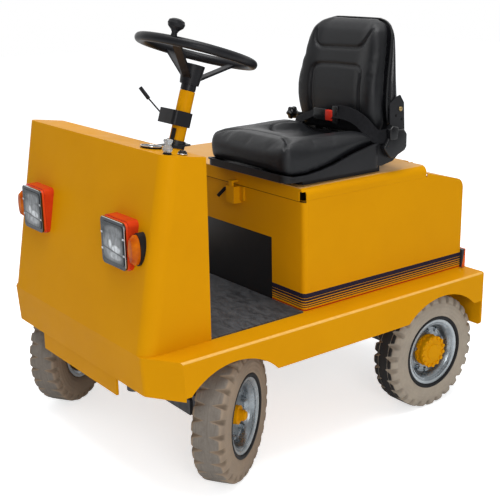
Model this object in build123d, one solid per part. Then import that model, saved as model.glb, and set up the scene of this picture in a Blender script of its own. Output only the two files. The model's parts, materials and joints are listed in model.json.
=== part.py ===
from build123d import *
import math
import os

# Four-wheel electric tow tractor with a stand-on floor, front cowl and seat over the battery box.
# Millimetres. +Z is up, the front points to -Y and the vehicle's left side to +X.
# Pieces are built with Y measured from the front axle, and shifted to the overall centre at the end.

# Clearances
RUN = 0.05                  # radial running clearance
SEAT_GAP = 0.3              # between a piece and the one that rests on it or turns beside it
THRUST = 0.5                # end play of the turning joints
OPEN_PIN_PLAY = 0.5         # extra radial play where the linkage is opened
PLATE_GAP = 5               # spinning tyre to the rear plate
SINK = 1                    # how far a welded or fused form goes into the next one

# Deck and plates
SHEET = 4
DECK_HALF_W = 526
DECK_Z = 473                # top of the deck
FOLD_R = 8
FRONT_Y = -250
FRONT_HALF_W = 416          # straight part of the front, between its chamfers
CHAMFER_Y = -178
FASCIA_FOLD_R = 30
APRON_Z = 363               # lower edge of the side aprons
FASCIA_Z = 351              # lower edge of the front
FASCIA_SET = 8              # lower front edge, back from the fold
FRONT_ARCH = (218, 212)      # wheel arch's radius and the height of its centre
REAR_ARCH = (248, 181)
FRONT_ARCH_SET = 5           # arch's centre behind the front axle
REAR_PLATE_T = 8
REAR_PLATE_Z = 271
REAR_PLATE_R = 14
FRONT_PLATE_T = 8
FRONT_PLATE_HALF_W = 243
FRONT_PLATE_Z = 292

# Wheels
WHEELBASE = 898
TYRE_D = 415
TYRE_W = 112
TYRE_INSET = 30             # tyre's outer face, inside the deck's edge
LUGS = 28                   # shoulder lugs round each side of a tyre
TREAD_DEPTH = 27            # groove at the shoulder's side
GROOVE_OUT = 6.5            # half width of a shoulder groove at the side, and at its inner end
GROOVE_IN = 1.4
RIB_HALF_W = 17             # unbroken centre of the tread
BULGE_DROP = 42             # widest part of the side, below the tread
SHOULDER_IN = 5             # the shoulder's corners, in from the side and down from the tread
SHOULDER_DROP = 12
CROWN_IN = 14
RIM_R = 102                 # bead seat
RIM_FLANGE_R = 119
RIM_W = 96                  # over the flanges
RIM_WALL = 4
LIP_T = 4.5
DISH_R = 86                 # where the dish meets the disc
DISC_OUT = 12               # rim disc's outer face, outboard of the tyre's centre
DISC_T = 7
STUD_PCD = 144
STUD_R = 6
NUT_R = 10.5
NUT_H = 10
STUDS = 5
RIM_BOLT_R = 7
HUB_BORE_R = 30
HUB_BARREL_R = 36
HUB_INNER_T = -34           # inboard end of the hubs
HUB_FLANGE_T = 9
NOSE_FACE = 27              # front hub's flange, collar and cap, outboard of the tyre's centre
COLLAR_R = 17.5
COLLAR_T = 42
NOSE_R = 14
NOSE_T = 50
REAR_HUB_R = 52
REAR_HUB_FLANGE_R = 57
REAR_HUB_FACE = 46
REAR_HUB_BOLTS = 14
REAR_HUB_BOLT_R = 7
REAR_HUB_BOLT_H = 5

# Steering
KINGPIN_SET = 100           # kingpin inboard of the tyre's centre
KINGPIN_R = 14
BOSS_R = 26
BEAM_BOSS_Z = (185, 245)
BEAM_Z = (190, 240)
BEAM_HALF_Y = 30
EAR_T = 18                  # knuckle's ears
EAR_R = 28
WEB_X = (32, 50)            # knuckle's web, outboard of the kingpin
SPINDLE_R = 17
SPINDLE_END = 22            # outboard of the tyre's centre
SPINDLE_FLANGE_R = 34
SPINDLE_FLANGE_T = 8
TIE_ARM = 110               # tie rod arm, straight back from the kingpin
DRAG_ARM = 100              # drag link arm, and the drop arm that it matches
ARM_T = 14
ARM_HALF_W = 11
ARM_BOSS_R = 24
TIE_PIN_R = 7
ROD_END_R = 14
ROD_END_H = 20
LINK_R = 9
LINK_Z = 278                # underside of the drop arm and the knuckle's upper arm
STEER_REST = 33             # degrees to the vehicle's left, as it stands parked
STEER_LOCK = 38             # degrees each way from straight ahead
TRUNNION_R = 14
TRUNNION_BOSS_R = 38
CRADLE_Y = (44, 56)
CRADLE_HALF_W = 60
CRADLE_EAR_R = 34
CRADLE_TOP_T = 10
BOX_SIZE = 90               # steering box, square seen from above
BOX_BOTTOM_Z = 392
BOX_NECK = 30
OUTPUT_R = 15

# Column and steering wheel
COLUMN_X = 208
COLUMN_LEAN = 17.5          # degrees back from vertical
COLUMN_FOOT_Y = -145.7      # axis at the deck's top
COLUMN_RISE = 161.5         # tube's top above its collar on the dash, along the axis
COLUMN_R = 23
COLUMN_WALL = 3
COLLAR_WALL = 5             # clamp collar at the dash
CLAMP_BAR_H = 46            # clamp bar up the column, and its place round it in degrees
CLAMP_BAR_ANGLE = -66
FOOT_HALF = 45
FOOT_T = 6
WHEEL_RING_R = 172          # centre line of the steering wheel rim
WHEEL_RIM_R = 14
WHEEL_RISE = 120            # rim plane above the column tube's top
WHEEL_SPOKES = (305, 176, 101)
SPOKE_W = 26
SPOKE_T = 7
SPOKE_LOW = 36              # spokes' and hub's heights above the column tube's top
NECK_H = 20
HUB_LOW_R = 29
HUB_TOP_R = 36
HUB_TOP = 80
KNOB_ANGLE = 302
SWITCH_DROP = 85            # switch block's centre below the column tube's top
SWITCH_SIZE = (94, 68, 44)
SWITCH_SHIFT = (-20.5, -9.3)
SWITCH_CORNER = 14
LEVER_R = 2.5
LEVER_GRIP_R = 6
LEVER_POINTS = ((-62, -34, 4), (-106, -60, 38), (-128, -84, 65))

# Chassis
RAIL_X = 130
RAIL_W = 50
RAIL_H = 80
CROSS_W = 50
CROSS_H = 50
SADDLE_W = 40
SADDLE_LEN = 120
AXLE_TUBE_R = 36
DIFF_R = 92
GEAR_R = 55
GEAR_LEN = 120
MOTOR_R = 95
MOTOR_LEN = 280
DRUM_R = 88
DRUM_GAP = 20               # brake drum to the rim's inner edge

# Cowl
COWL_HALF_W = 437
COWL_TOP_Z = 1040
COWL_TOP_Y = -150
COWL_REAR_Y = -20
COWL_CORNER = 45
COWL_T = 3
DASH_DROP = 18              # dash top, lower at its rear edge
COWL_FLANGE = 20
MAT_T = 5
MAT_EDGE = 4                # mat inside the cowl's outer face

# Battery box and lid
BOX_FRONT_Y = 338
REAR_LEDGE = 24             # deck left open behind the box
BOX_SIDE_Z = 838            # top edge of the sides under the lid
BOX_T = 3
FRONT_BEND = 15
LID_Z = 878
LID_ROLL = 25
LIP_STEP = 4                # lid's lip, in front of the box's front wall
LIP_Z = 835
LID_OPEN = 70               # degrees
NOTCH_W = 20
NOTCH_TOP = 12
EAR_HIGH_Z = 850
EAR_LOW_Z = 803
EAR_RUN = 193               # from the lid's rear edge to the box's rear panel
EAR_CORNER = 38
SHELF_W = 18
KICK_HALF_W = 273
KICK_Z = 689
KICK_LAP = 25
BATTERY_W = 620
BATTERY_H = 290
BATTERY_GAP = 25            # to the box's front wall, and ahead of the lid's rear edge
HINGE_BACK = 11             # hinge axis behind the lid, and below its top
HINGE_DROP = 9
HINGE_XS = (-280, 280)
HINGE_PIN_R = 5
HINGE_BARREL_R = 9
HINGE_LEN = 90
HINGE_EAR_T = 8

# Seat, centred on the column
SEAT_X = 205
SEAT_RAIL_H = 18
RAIL_HALF = 20
RAIL_SET = 22               # slide rails inside the pan's sides
PAN_HALF_W = 214
PAN_FRONT_Y = 280
PAN_REAR_Y = 690
PAN_CORNER = 36
PAN_T = 4
PAN_LIP = 5
CUSHION_INSET = 7
CUSHION_REAR_Y = 656
CUSHION_TOP_Z = 1016
CUSHION_ROLL = 22
BOLSTER_W = 92              # raised sides of the cushion
BELT_W = 48
BELT_T = 3

# Lamps
LAMP_INSET = 171            # lamp centres inside the cowl's sides
LAMP_Z = 774
LAMP_W = 136
LAMP_H = 140
LAMP_FACE_Y = -233
LAMP_CORNER = 14
LAMP_RING_T = 14
LAMP_RING_W = 9
LAMP_LAP = 3
MARKER_INSET = 74
MARKER_Z = 772
MARKER_W = 50
MARKER_H = 96
MARKER_FACE_Y = -234
MARKER_LENS_D = 22
MARKER_RIM = 4
TAIL_W = 36
TAIL_OUT = 10               # tail lamp's side, past the box's side
TAIL_D = 22
TAIL_Z = (478, 544)
TAIL_BASE = 6

# Tow hitch
HITCH_Z = 350
HITCH_REACH = 110           # pin centre behind the rear plate
HITCH_JAW_R = 38
HITCH_GAP = 60
HITCH_PLATE_T = 16
TOW_PIN_R = 12
TOW_PIN_LIFT = 110

# Places that follow from the sizes above
SIDES = (("left", 1), ("right", -1))
AXLE_Z = TYRE_D / 2
TYRE_X = DECK_HALF_W - TYRE_INSET - TYRE_W / 2
KINGPIN_X = TYRE_X - KINGPIN_SET
LUG_TIP_R = TYRE_D / 2 / math.cos(math.pi / LUGS)
DECK_REAR_Y = WHEELBASE + math.sqrt(LUG_TIP_R ** 2 - (REAR_PLATE_Z - AXLE_Z) ** 2) + PLATE_GAP
FRONT_PLATE_Y = FRONT_Y + FASCIA_SET + SHEET + SEAT_GAP
LAMP_X = COWL_HALF_W - LAMP_INSET
MARKER_X = COWL_HALF_W - MARKER_INSET
BOX_REAR_Y = DECK_REAR_Y - REAR_LEDGE
LID_REAR_Y = BOX_REAR_Y - EAR_RUN
LIP_Y = BOX_FRONT_Y - LIP_STEP
HINGE_Y = LID_REAR_Y + HINGE_BACK
HINGE_Z = LID_Z - HINGE_DROP
RAIL_Z = (DECK_Z - SHEET - RAIL_H, DECK_Z - SHEET)
CROSS_YS = (FRONT_PLATE_Y + 38, BOX_FRONT_Y - 98, BOX_FRONT_Y + 222, DECK_REAR_Y - 60)
BEAM_CENTRE_Z = (BEAM_Z[0] + BEAM_Z[1]) / 2
PAN_Z = LID_Z + SEAT_RAIL_H
REAR_Y = DECK_REAR_Y + REAR_PLATE_T
Y_SHIFT = -(FRONT_Y + REAR_Y + HITCH_REACH + HITCH_JAW_R) / 2

LEAN = math.radians(COLUMN_LEAN)
COLUMN_DIR = Vector(0, math.sin(LEAN), math.cos(LEAN))
COLUMN_FOOT = Vector(COLUMN_X, COLUMN_FOOT_Y, DECK_Z)
COLUMN_LEN = (COWL_TOP_Z - DASH_DROP - DECK_Z) / math.cos(LEAN) + COLUMN_RISE
COLUMN_TOP = COLUMN_FOOT + COLUMN_DIR * COLUMN_LEN
BOX_Y = COLUMN_FOOT_Y - 10

os.makedirs("parts", exist_ok=True)


def box(x0, x1, y0, y1, z0, z1):
    """A box between two corners."""
    size = (abs(x1 - x0), abs(y1 - y0), abs(z1 - z0))
    return Pos((x0 + x1) / 2, (y0 + y1) / 2, (z0 + z1) / 2) * Box(*size)


def rod(p, q, r):
    """A cylinder of radius r from point p to point q."""
    p, q = Vector(*p), Vector(*q)
    plane = Plane(origin=p, z_dir=q - p)
    return plane * Cylinder(r, (q - p).length, align=(Align.CENTER, Align.CENTER, Align.MIN))


def upright(x, y, z0, z1, r):
    """A vertical cylinder."""
    return rod((x, y, z0), (x, y, z1), r)


def prism_x(points, x0, x1):
    """A YZ outline extruded from x0 to x1."""
    face = make_face(Polyline(*[(x0, y, z) for y, z in points], close=True))
    return extrude(face, amount=abs(x1 - x0), dir=(math.copysign(1, x1 - x0), 0, 0))


def turned(points):
    """A solid of revolution about X from an outline of (x, radius)."""
    face = make_face(Polyline(*[(x, r, 0) for x, r in points], close=True))
    return revolve(face, Axis.X, 360)


def bar(p, q, wide, thick, across):
    """A flat bar from p to q, its width along the direction across."""
    p, q, across = Vector(*p), Vector(*q), Vector(*across)
    along = q - p
    plane = Plane(origin=p + along * 0.5, x_dir=along, z_dir=along.cross(across))
    return plane * Box(along.length, wide, thick)


def hex_heads(x0, x1, r, ring_r, count, first=90):
    """Hexagon heads on a circle about the wheel's axle, from x0 to x1 along it."""
    head = extrude(Plane.YZ * RegularPolygon(r, 6), amount=x1 - x0)
    heads = None
    for k in range(count):
        spot = Rot(first + 360 / count * k, 0, 0) * Pos(x0, ring_r, 0) * head
        heads = spot if heads is None else heads + spot
    return heads


def swing(x, y, angle):
    """A vector turned about Z by degrees."""
    a = math.radians(angle)
    return x * math.cos(a) - y * math.sin(a), x * math.sin(a) + y * math.cos(a)


def steered(shape, side):
    """Turns a straight-ahead front corner about its kingpin to the rest angle."""
    x = side * KINGPIN_X
    return Pos(x, 0, 0) * Rot(0, 0, STEER_REST) * Pos(-x, 0, 0) * shape


def link_vector():
    """From the drop arm's pivot to the left kingpin, and the arms' vector square to it."""
    dx, dy = KINGPIN_X - COLUMN_X, -BOX_Y
    length = math.hypot(dx, dy)
    return dx, dy, -dy / length * DRAG_ARM, dx / length * DRAG_ARM


def along_column(offset):
    """A point on the column's axis, that far above the tube's top."""
    return COLUMN_TOP + COLUMN_DIR * offset


def column_at(z):
    """The offset along the column where its axis is at height z."""
    return (z - COLUMN_TOP.Z) / math.cos(LEAN)


# Wheels. In their own frame the axle is X, outboard is +X and the tyre's centre is the origin.

def tyre():
    """Solid tyre: a ring of flat facets, one a lug, with a tapered shoulder groove at each corner."""
    tip, half = TYRE_D / 2, TYRE_W / 2
    bead_x = RIM_W / 2 - 6
    # x and radius down the half section
    seat = (bead_x, RIM_R + SEAT_GAP / 2)
    wall = (bead_x, RIM_FLANGE_R + 1.5)
    bulge = (half, tip - BULGE_DROP)
    shoulder = (half - SHOULDER_IN, tip - SHOULDER_DROP)
    crown = (half - CROWN_IN, tip)
    rib = (RIB_HALF_W, tip)
    share = (BULGE_DROP - TREAD_DEPTH) / (BULGE_DROP - SHOULDER_DROP)
    floor = (half - SHOULDER_IN * share, tip - TREAD_DEPTH)
    corner = math.tan(math.pi / LUGS)

    def groove(x):
        """Half width of the groove at x."""
        return GROOVE_IN + (x - rib[0]) / (floor[0] - rib[0]) * (GROOVE_OUT - GROOVE_IN)

    faces = []
    for k in range(LUGS):
        a = 2 * math.pi * k / LUGS
        c, s = math.cos(a), math.sin(a)

        def spot(point, side, turn, grooved=False):
            x, r = point
            t = turn * (r * corner - (groove(x) if grooved else 0))
            return Vector(side * x, r * c - t * s, r * s + t * c)

        def face(*points):
            faces.append(Face(Wire.make_polygon(points, close=True)))

        face(spot(seat, 1, 1), spot(seat, 1, -1), spot(seat, -1, -1), spot(seat, -1, 1))
        for side in (1, -1):
            for low, high in ((seat, wall), (wall, bulge)):
                face(spot(low, side, -1), spot(low, side, 1), spot(high, side, 1),
                     spot(high, side, -1))
            face(spot(bulge, side, -1), spot(bulge, side, 1), spot(floor, side, 1),
                 spot(floor, side, 1, True), spot(shoulder, side, 1, True),
                 spot(shoulder, side, -1, True), spot(floor, side, -1, True),
                 spot(floor, side, -1))
            face(spot(shoulder, side, -1, True), spot(shoulder, side, 1, True),
                 spot(crown, side, 1, True), spot(crown, side, -1, True))
            for turn in (1, -1):
                face(spot(floor, side, turn), spot(floor, side, turn, True),
                     spot(rib, side, turn, True), spot(rib, side, turn))
                face(spot(floor, side, turn, True), spot(shoulder, side, turn, True),
                     spot(crown, side, turn, True), spot(rib, side, turn, True))
        face(spot(rib, 1, 1), spot(rib, 1, 1, True), spot(crown, 1, 1, True),
             spot(crown, 1, -1, True), spot(rib, 1, -1, True), spot(rib, 1, -1),
             spot(rib, -1, -1), spot(rib, -1, -1, True), spot(crown, -1, -1, True),
             spot(crown, -1, 1, True), spot(rib, -1, 1, True), spot(rib, -1, 1))
    return Solid(Shell(faces))


def rim():
    """Dished rim with its disc, wheel nuts and the bolts that hold its halves."""
    half = RIM_W / 2
    inner = RIM_R - RIM_WALL
    shape = turned((
        (-half, RIM_FLANGE_R), (LIP_T - half, RIM_FLANGE_R), (LIP_T - half + 1.2, RIM_R),
        (half - LIP_T - 1.2, RIM_R), (half - LIP_T, RIM_FLANGE_R), (half, RIM_FLANGE_R),
        (half - 2, RIM_FLANGE_R - 8), (half - 8, inner + 2), (half - 12, inner - 2),
        (DISC_OUT + 14, DISH_R + 4), (DISC_OUT + 3, DISH_R), (DISC_OUT, DISH_R - 3),
        (DISC_OUT, HUB_BORE_R), (DISC_OUT - DISC_T, HUB_BORE_R), (DISC_OUT - DISC_T, DISH_R),
        (DISC_OUT - DISC_T - 12, inner), (8 - half, inner), (2 - half, inner + 8),
    ))
    ring = STUD_PCD / 2
    shape += hex_heads(DISC_OUT - SINK, DISC_OUT + NUT_H, NUT_R, ring, STUDS)
    shape += hex_heads(DISC_OUT - SINK, DISC_OUT + NUT_H / 2, RIM_BOLT_R, ring + 5, STUDS,
                       90 + 180 / STUDS)
    for k in range(STUDS):
        a = math.radians(90 + 360 / STUDS * k)
        y, z = math.cos(a) * ring, math.sin(a) * ring
        shape += rod((DISC_OUT, y, z), (DISC_OUT + NUT_H + 5, y, z), STUD_R)
    return shape


def hub_back():
    """Outline shared by the hubs: barrel, flange behind the disc and spigot through it."""
    back = DISC_OUT - DISC_T - SEAT_GAP / 2
    flange_r = STUD_PCD / 2 + NUT_R
    return ((HUB_INNER_T, HUB_BARREL_R), (back - HUB_FLANGE_T, HUB_BARREL_R),
            (back - HUB_FLANGE_T, flange_r), (back, flange_r), (back, HUB_BORE_R - SEAT_GAP))


def front_hub():
    """Hub with its bearing bore, flanged face, collar and stepped nose."""
    r = HUB_BORE_R - SEAT_GAP
    bore = SPINDLE_R + RUN
    bore_end = SPINDLE_END + 2
    return turned(((HUB_INNER_T, bore), *hub_back(), (NOSE_FACE, r), (NOSE_FACE, COLLAR_R + 2),
                   (NOSE_FACE + 5, COLLAR_R), (COLLAR_T, COLLAR_R), (COLLAR_T, NOSE_R),
                   (NOSE_T - 2, NOSE_R), (NOSE_T, NOSE_R - 3), (NOSE_T, 0), (bore_end, 0),
                   (bore_end, bore)))


def rear_hub():
    """Hub with the half shaft's flanged cover, bolted at both of its rims."""
    front = DISC_OUT + SEAT_GAP
    flange_t = 7
    bore = SPINDLE_R + RUN
    bore_end = SPINDLE_END + 2
    shape = turned(((HUB_INNER_T, bore), *hub_back(), (front, HUB_BORE_R - SEAT_GAP),
                    (front, REAR_HUB_FLANGE_R), (front + flange_t, REAR_HUB_FLANGE_R),
                    (front + flange_t, REAR_HUB_R), (REAR_HUB_FACE - flange_t, REAR_HUB_R),
                    (REAR_HUB_FACE - flange_t, REAR_HUB_FLANGE_R),
                    (REAR_HUB_FACE, REAR_HUB_FLANGE_R), (REAR_HUB_FACE, 30),
                    (REAR_HUB_FACE + 4, 27), (REAR_HUB_FACE + 4, 0), (bore_end, 0),
                    (bore_end, bore)))
    ring = REAR_HUB_FLANGE_R - REAR_HUB_BOLT_R + 2
    for face in (front + flange_t, REAR_HUB_FACE):
        shape += hex_heads(face - SINK, face + REAR_HUB_BOLT_H, REAR_HUB_BOLT_R, ring,
                           REAR_HUB_BOLTS)
    return shape


def wheel_place(side, axle_y):
    """Moves a wheel piece from its own frame to its corner of the vehicle."""
    turn = Rot(0, 0, 0) if side > 0 else Rot(0, 0, 180)
    return Pos(side * TYRE_X, axle_y, AXLE_Z) * turn


# Front axle and steering

LOW_EAR = (BEAM_BOSS_Z[0] - THRUST - EAR_T, BEAM_BOSS_Z[0] - THRUST)
HIGH_EAR = (BEAM_BOSS_Z[1] + THRUST, BEAM_BOSS_Z[1] + THRUST + EAR_T)


def knuckle(side):
    """Yoke round the beam's end, with kingpin, spindle and steering arms."""
    x = side * KINGPIN_X
    web = [x + side * w for w in WEB_X]
    half = EAR_R + 2
    shape = box(*web, -half, half, LOW_EAR[0], HIGH_EAR[1])
    for z0, z1 in (LOW_EAR, HIGH_EAR):
        shape += box(x, web[1], -EAR_R, EAR_R, z0, z1) + upright(x, 0, z0, z1, EAR_R)
    shape += upright(x, 0, LOW_EAR[0] - 4, LINK_Z + ARM_T, KINGPIN_R)
    flange = web[1] + side * SPINDLE_FLANGE_T
    shape += rod((web[1], 0, AXLE_Z), (flange, 0, AXLE_Z), SPINDLE_FLANGE_R)
    tip = side * (TYRE_X + SPINDLE_END)
    shape += rod((web[1], 0, AXLE_Z), (tip, 0, AXLE_Z), SPINDLE_R)
    # lower arm to the tie rod, straight back
    z0, z1 = LOW_EAR[0], LOW_EAR[0] + ARM_T
    shape += box(x - ARM_HALF_W, x + ARM_HALF_W, 0, TIE_ARM, z0, z1)
    shape += upright(x, TIE_ARM, z0, z1, ROD_END_R)
    play = OPEN_PIN_PLAY if side < 0 else RUN
    shape -= upright(x, TIE_ARM, z0 - SINK, z1 + SINK, TIE_PIN_R + play)
    if side > 0:
        _, _, ax, ay = link_vector()
        shape += lever(x, 0, ax, ay, LINK_Z, ARM_BOSS_R)
        shape -= upright(x + ax, ay, LINK_Z - SINK, LINK_Z + ARM_T + SINK, TIE_PIN_R + RUN)
    return steered(shape, side)


def lever(x, y, ax, ay, z, boss_r):
    """A flat arm from a boss at x, y to an eye at its end, z being its underside."""
    length = math.hypot(ax, ay)
    arm = box(0, length, -ARM_HALF_W, ARM_HALF_W, z, z + ARM_T)
    arm = Pos(x, y, 0) * Rot(0, 0, math.degrees(math.atan2(ay, ax))) * arm
    boss = upright(x, y, z, z + ARM_T, boss_r)
    return arm + boss + upright(x + ax, y + ay, z, z + ARM_T, ROD_END_R)


def front_axle_beam():
    """Square beam with kingpin bosses and the centre trunnion it tilts on."""
    reach = KINGPIN_X - BOSS_R + 8
    shape = box(-reach, reach, -BEAM_HALF_Y, BEAM_HALF_Y, *BEAM_Z)
    for _, side in SIDES:
        x = side * KINGPIN_X
        shape += upright(x, 0, *BEAM_BOSS_Z, BOSS_R)
        shape -= upright(x, 0, BEAM_BOSS_Z[0] - SINK, BEAM_BOSS_Z[1] + SINK, KINGPIN_R + RUN)
    for y, r in ((CRADLE_Y[0] - 4, TRUNNION_BOSS_R), (CRADLE_Y[1] + 10, TRUNNION_R)):
        shape += rod((0, -y, BEAM_CENTRE_Z), (0, y, BEAM_CENTRE_Z), r)
    return shape


def tie_rod():
    """Rod between the knuckles' lower arms, with its two end pins."""
    dx, dy = swing(0, TIE_ARM, STEER_REST)
    low = LOW_EAR[0] - THRUST - ROD_END_H
    mid = low + ROD_END_H / 2
    ends = [(side * KINGPIN_X + dx, dy) for _, side in SIDES]
    shape = rod((ends[1][0], dy, mid), (ends[0][0], dy, mid), LINK_R)
    for x, y in ends:
        shape += upright(x, y, low, low + ROD_END_H, ROD_END_R)
        shape += upright(x, y, low, LOW_EAR[0] + ARM_T + 8, TIE_PIN_R)
    return shape


def drag_link():
    """Short rod from the drop arm to the left knuckle's upper arm."""
    vx, vy, ax, ay = link_vector()
    rx, ry = swing(ax, ay, STEER_REST)
    low = LINK_Z + ARM_T + THRUST
    start = (COLUMN_X + rx, BOX_Y + ry)
    end = (start[0] + vx, start[1] + vy)
    mid = low + ROD_END_H / 2
    shape = rod((*start, mid), (*end, mid), LINK_R)
    for (x, y), play in ((start, OPEN_PIN_PLAY), (end, 0)):
        shape += upright(x, y, low, low + ROD_END_H, ROD_END_R)
        shape += upright(x, y, LINK_Z - 8, low, TIE_PIN_R - play)
    return shape


def drop_arm():
    """Arm under the steering box, turning with its output shaft."""
    _, _, ax, ay = link_vector()
    rx, ry = swing(ax, ay, STEER_REST)
    shape = lever(COLUMN_X, BOX_Y, rx, ry, LINK_Z, ARM_BOSS_R)
    shape -= upright(COLUMN_X + rx, BOX_Y + ry, LINK_Z - SINK, LINK_Z + ARM_T + SINK,
                     TIE_PIN_R + RUN)
    return shape + upright(COLUMN_X, BOX_Y, LINK_Z, BOX_BOTTOM_Z + 40, OUTPUT_R)


def steering_box():
    half = BOX_SIZE / 2
    top = DECK_Z - SHEET
    shape = box(COLUMN_X - half, COLUMN_X + half, BOX_Y - half, BOX_Y + half, BOX_BOTTOM_Z, top)
    shape += upright(COLUMN_X, BOX_Y, BOX_BOTTOM_Z - BOX_NECK, BOX_BOTTOM_Z, OUTPUT_R + 11)
    bore = upright(COLUMN_X, BOX_Y, BOX_BOTTOM_Z - BOX_NECK - SINK, BOX_BOTTOM_Z + 42,
                   OUTPUT_R + RUN)
    bracket = box(RAIL_X + RAIL_W / 2, COLUMN_X - half, BOX_Y - 30, BOX_Y + 30,
                  top - 60, top - 10)
    return shape + bracket - bore


def column_tube():
    """Steering column tube from the deck to the wheel's neck, with a foot flange."""
    foot = -COLUMN_LEN - 20
    tube = rod(along_column(foot), along_column(0), COLUMN_R)
    tube -= box(COLUMN_X - 100, COLUMN_X + 100, COLUMN_FOOT_Y - 100, COLUMN_FOOT_Y + 100,
                DECK_Z - 100, DECK_Z)
    flange = box(COLUMN_X - FOOT_HALF, COLUMN_X + FOOT_HALF, COLUMN_FOOT_Y - FOOT_HALF,
                 COLUMN_FOOT_Y + FOOT_HALF, DECK_Z, DECK_Z + FOOT_T)
    return tube + flange - rod(along_column(foot - 5), along_column(5), COLUMN_R - COLUMN_WALL)


def wheel_plane():
    """Plane of the steering wheel's rim, its origin on the column's axis."""
    return Plane(origin=along_column(WHEEL_RISE), x_dir=(1, 0, 0), z_dir=COLUMN_DIR)


def steering_wheel():
    """Rim, three dished flat spokes, tapered hub and the neck that turns over the column."""
    plane = wheel_plane()
    shape = plane * Torus(WHEEL_RING_R, WHEEL_RIM_R)
    shape += rod(along_column(2), along_column(NECK_H + SINK), COLUMN_R)
    low = NECK_H - WHEEL_RISE
    shape += plane * Pos(0, 0, low) * Cone(HUB_LOW_R, HUB_TOP_R, HUB_TOP - NECK_H, align=(
        Align.CENTER, Align.CENTER, Align.MIN))
    for angle in WHEEL_SPOKES:
        a = math.radians(angle)
        c, s = math.cos(a), math.sin(a)
        start = plane.from_local_coords(Vector(20 * c, 20 * s, SPOKE_LOW - WHEEL_RISE))
        end = plane.from_local_coords(Vector(WHEEL_RING_R * c, WHEEL_RING_R * s, 0))
        across = plane.from_local_coords(Vector(-s, c, 0)) - plane.origin
        shape += bar(start, end, SPOKE_W, SPOKE_T, across)
    return shape + rod(along_column(-60), along_column(4), COLUMN_R - COLUMN_WALL - RUN)


def spinner_knob():
    """Mushroom knob that stands on the steering wheel's rim."""
    a = math.radians(KNOB_ANGLE)
    spot = Pos(WHEEL_RING_R * math.cos(a), WHEEL_RING_R * math.sin(a), WHEEL_RIM_R - 5)
    # radius and height up the knob's side
    profile = ((0, 0), (10, 0), (8, 13), (12, 20), (22, 29), (25, 38), (22, 47), (12, 52), (0, 52))
    knob = revolve(make_face(Polyline(*[(r, 0, z) for r, z in profile], close=True)), Axis.Z, 360)
    plane = wheel_plane()
    return plane * spot * knob - plane * Torus(WHEEL_RING_R, WHEEL_RIM_R + 0.01)


def switch_plane():
    """Plane across the column through the switch block's centre."""
    return Plane(origin=along_column(-SWITCH_DROP), x_dir=(1, 0, 0), z_dir=COLUMN_DIR)


def column_switch():
    """Direction switch block clamped round the column, with its lever."""
    plane = switch_plane()
    block = Box(*SWITCH_SIZE)
    block = fillet(block.edges().filter_by(Axis.Z), SWITCH_CORNER)
    block = plane * Pos(*SWITCH_SHIFT, 0) * block
    block -= rod(along_column(-200), along_column(50), COLUMN_R + 0.01)
    start, mid, end = [plane.from_local_coords(Vector(*p)) for p in LEVER_POINTS]
    return block + rod(start, mid, LEVER_R) + rod(mid, end, LEVER_GRIP_R)


# Chassis, deck and plates

def chassis_frame():
    """Two box rails with cross members, front plate, axle cradle and rear axle saddles."""
    low, top = RAIL_Z
    front = FRONT_PLATE_Y + FRONT_PLATE_T
    shape = None
    for _, side in SIDES:
        x = side * RAIL_X
        rail = box(x - RAIL_W / 2, x + RAIL_W / 2, front - SINK, DECK_REAR_Y, low, top)
        shape = rail if shape is None else shape + rail
    for y in CROSS_YS:
        shape += box(-RAIL_X, RAIL_X, y - CROSS_W / 2, y + CROSS_W / 2, low, top)
    # outriggers from the middle cross members to the aprons
    for y in CROSS_YS[1:3]:
        for _, side in SIDES:
            shape += box(side * RAIL_X, side * (DECK_HALF_W - SHEET - FOLD_R), y - CROSS_W / 2,
                         y + CROSS_W / 2, top - CROSS_H, top)
    shape += box(-FRONT_PLATE_HALF_W, FRONT_PLATE_HALF_W, FRONT_PLATE_Y, front, FRONT_PLATE_Z, top)
    # cradle for the front axle's trunnion
    reach = CRADLE_Y[1] + 14
    shape += box(-RAIL_X, RAIL_X, -reach, reach, low - CRADLE_TOP_T, low)
    for s in (-1, 1):
        ys = [s * y for y in CRADLE_Y]
        ear = box(-CRADLE_HALF_W, CRADLE_HALF_W, *ys, BEAM_CENTRE_Z, low)
        ear += rod((0, ys[0], BEAM_CENTRE_Z), (0, ys[1], BEAM_CENTRE_Z), CRADLE_EAR_R)
        for x in (-1, 1):
            ear -= box(x * (CRADLE_EAR_R + 6), x * (CRADLE_HALF_W + SINK), *ys,
                       BEAM_CENTRE_Z - SINK, BEAM_CENTRE_Z + CRADLE_EAR_R + 6)
        shape += ear
    shape -= rod((0, -reach, BEAM_CENTRE_Z), (0, reach, BEAM_CENTRE_Z), TRUNNION_R + RUN)
    # saddles over the rear axle tubes
    for _, side in SIDES:
        x = side * RAIL_X
        saddle = box(x - SADDLE_W / 2, x + SADDLE_W / 2, WHEELBASE - SADDLE_LEN / 2,
                     WHEELBASE + SADDLE_LEN / 2, AXLE_Z, low)
        shape += saddle - rod((x - SADDLE_W, WHEELBASE, AXLE_Z), (x + SADDLE_W, WHEELBASE, AXLE_Z),
                              AXLE_TUBE_R)
    return shape


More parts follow.
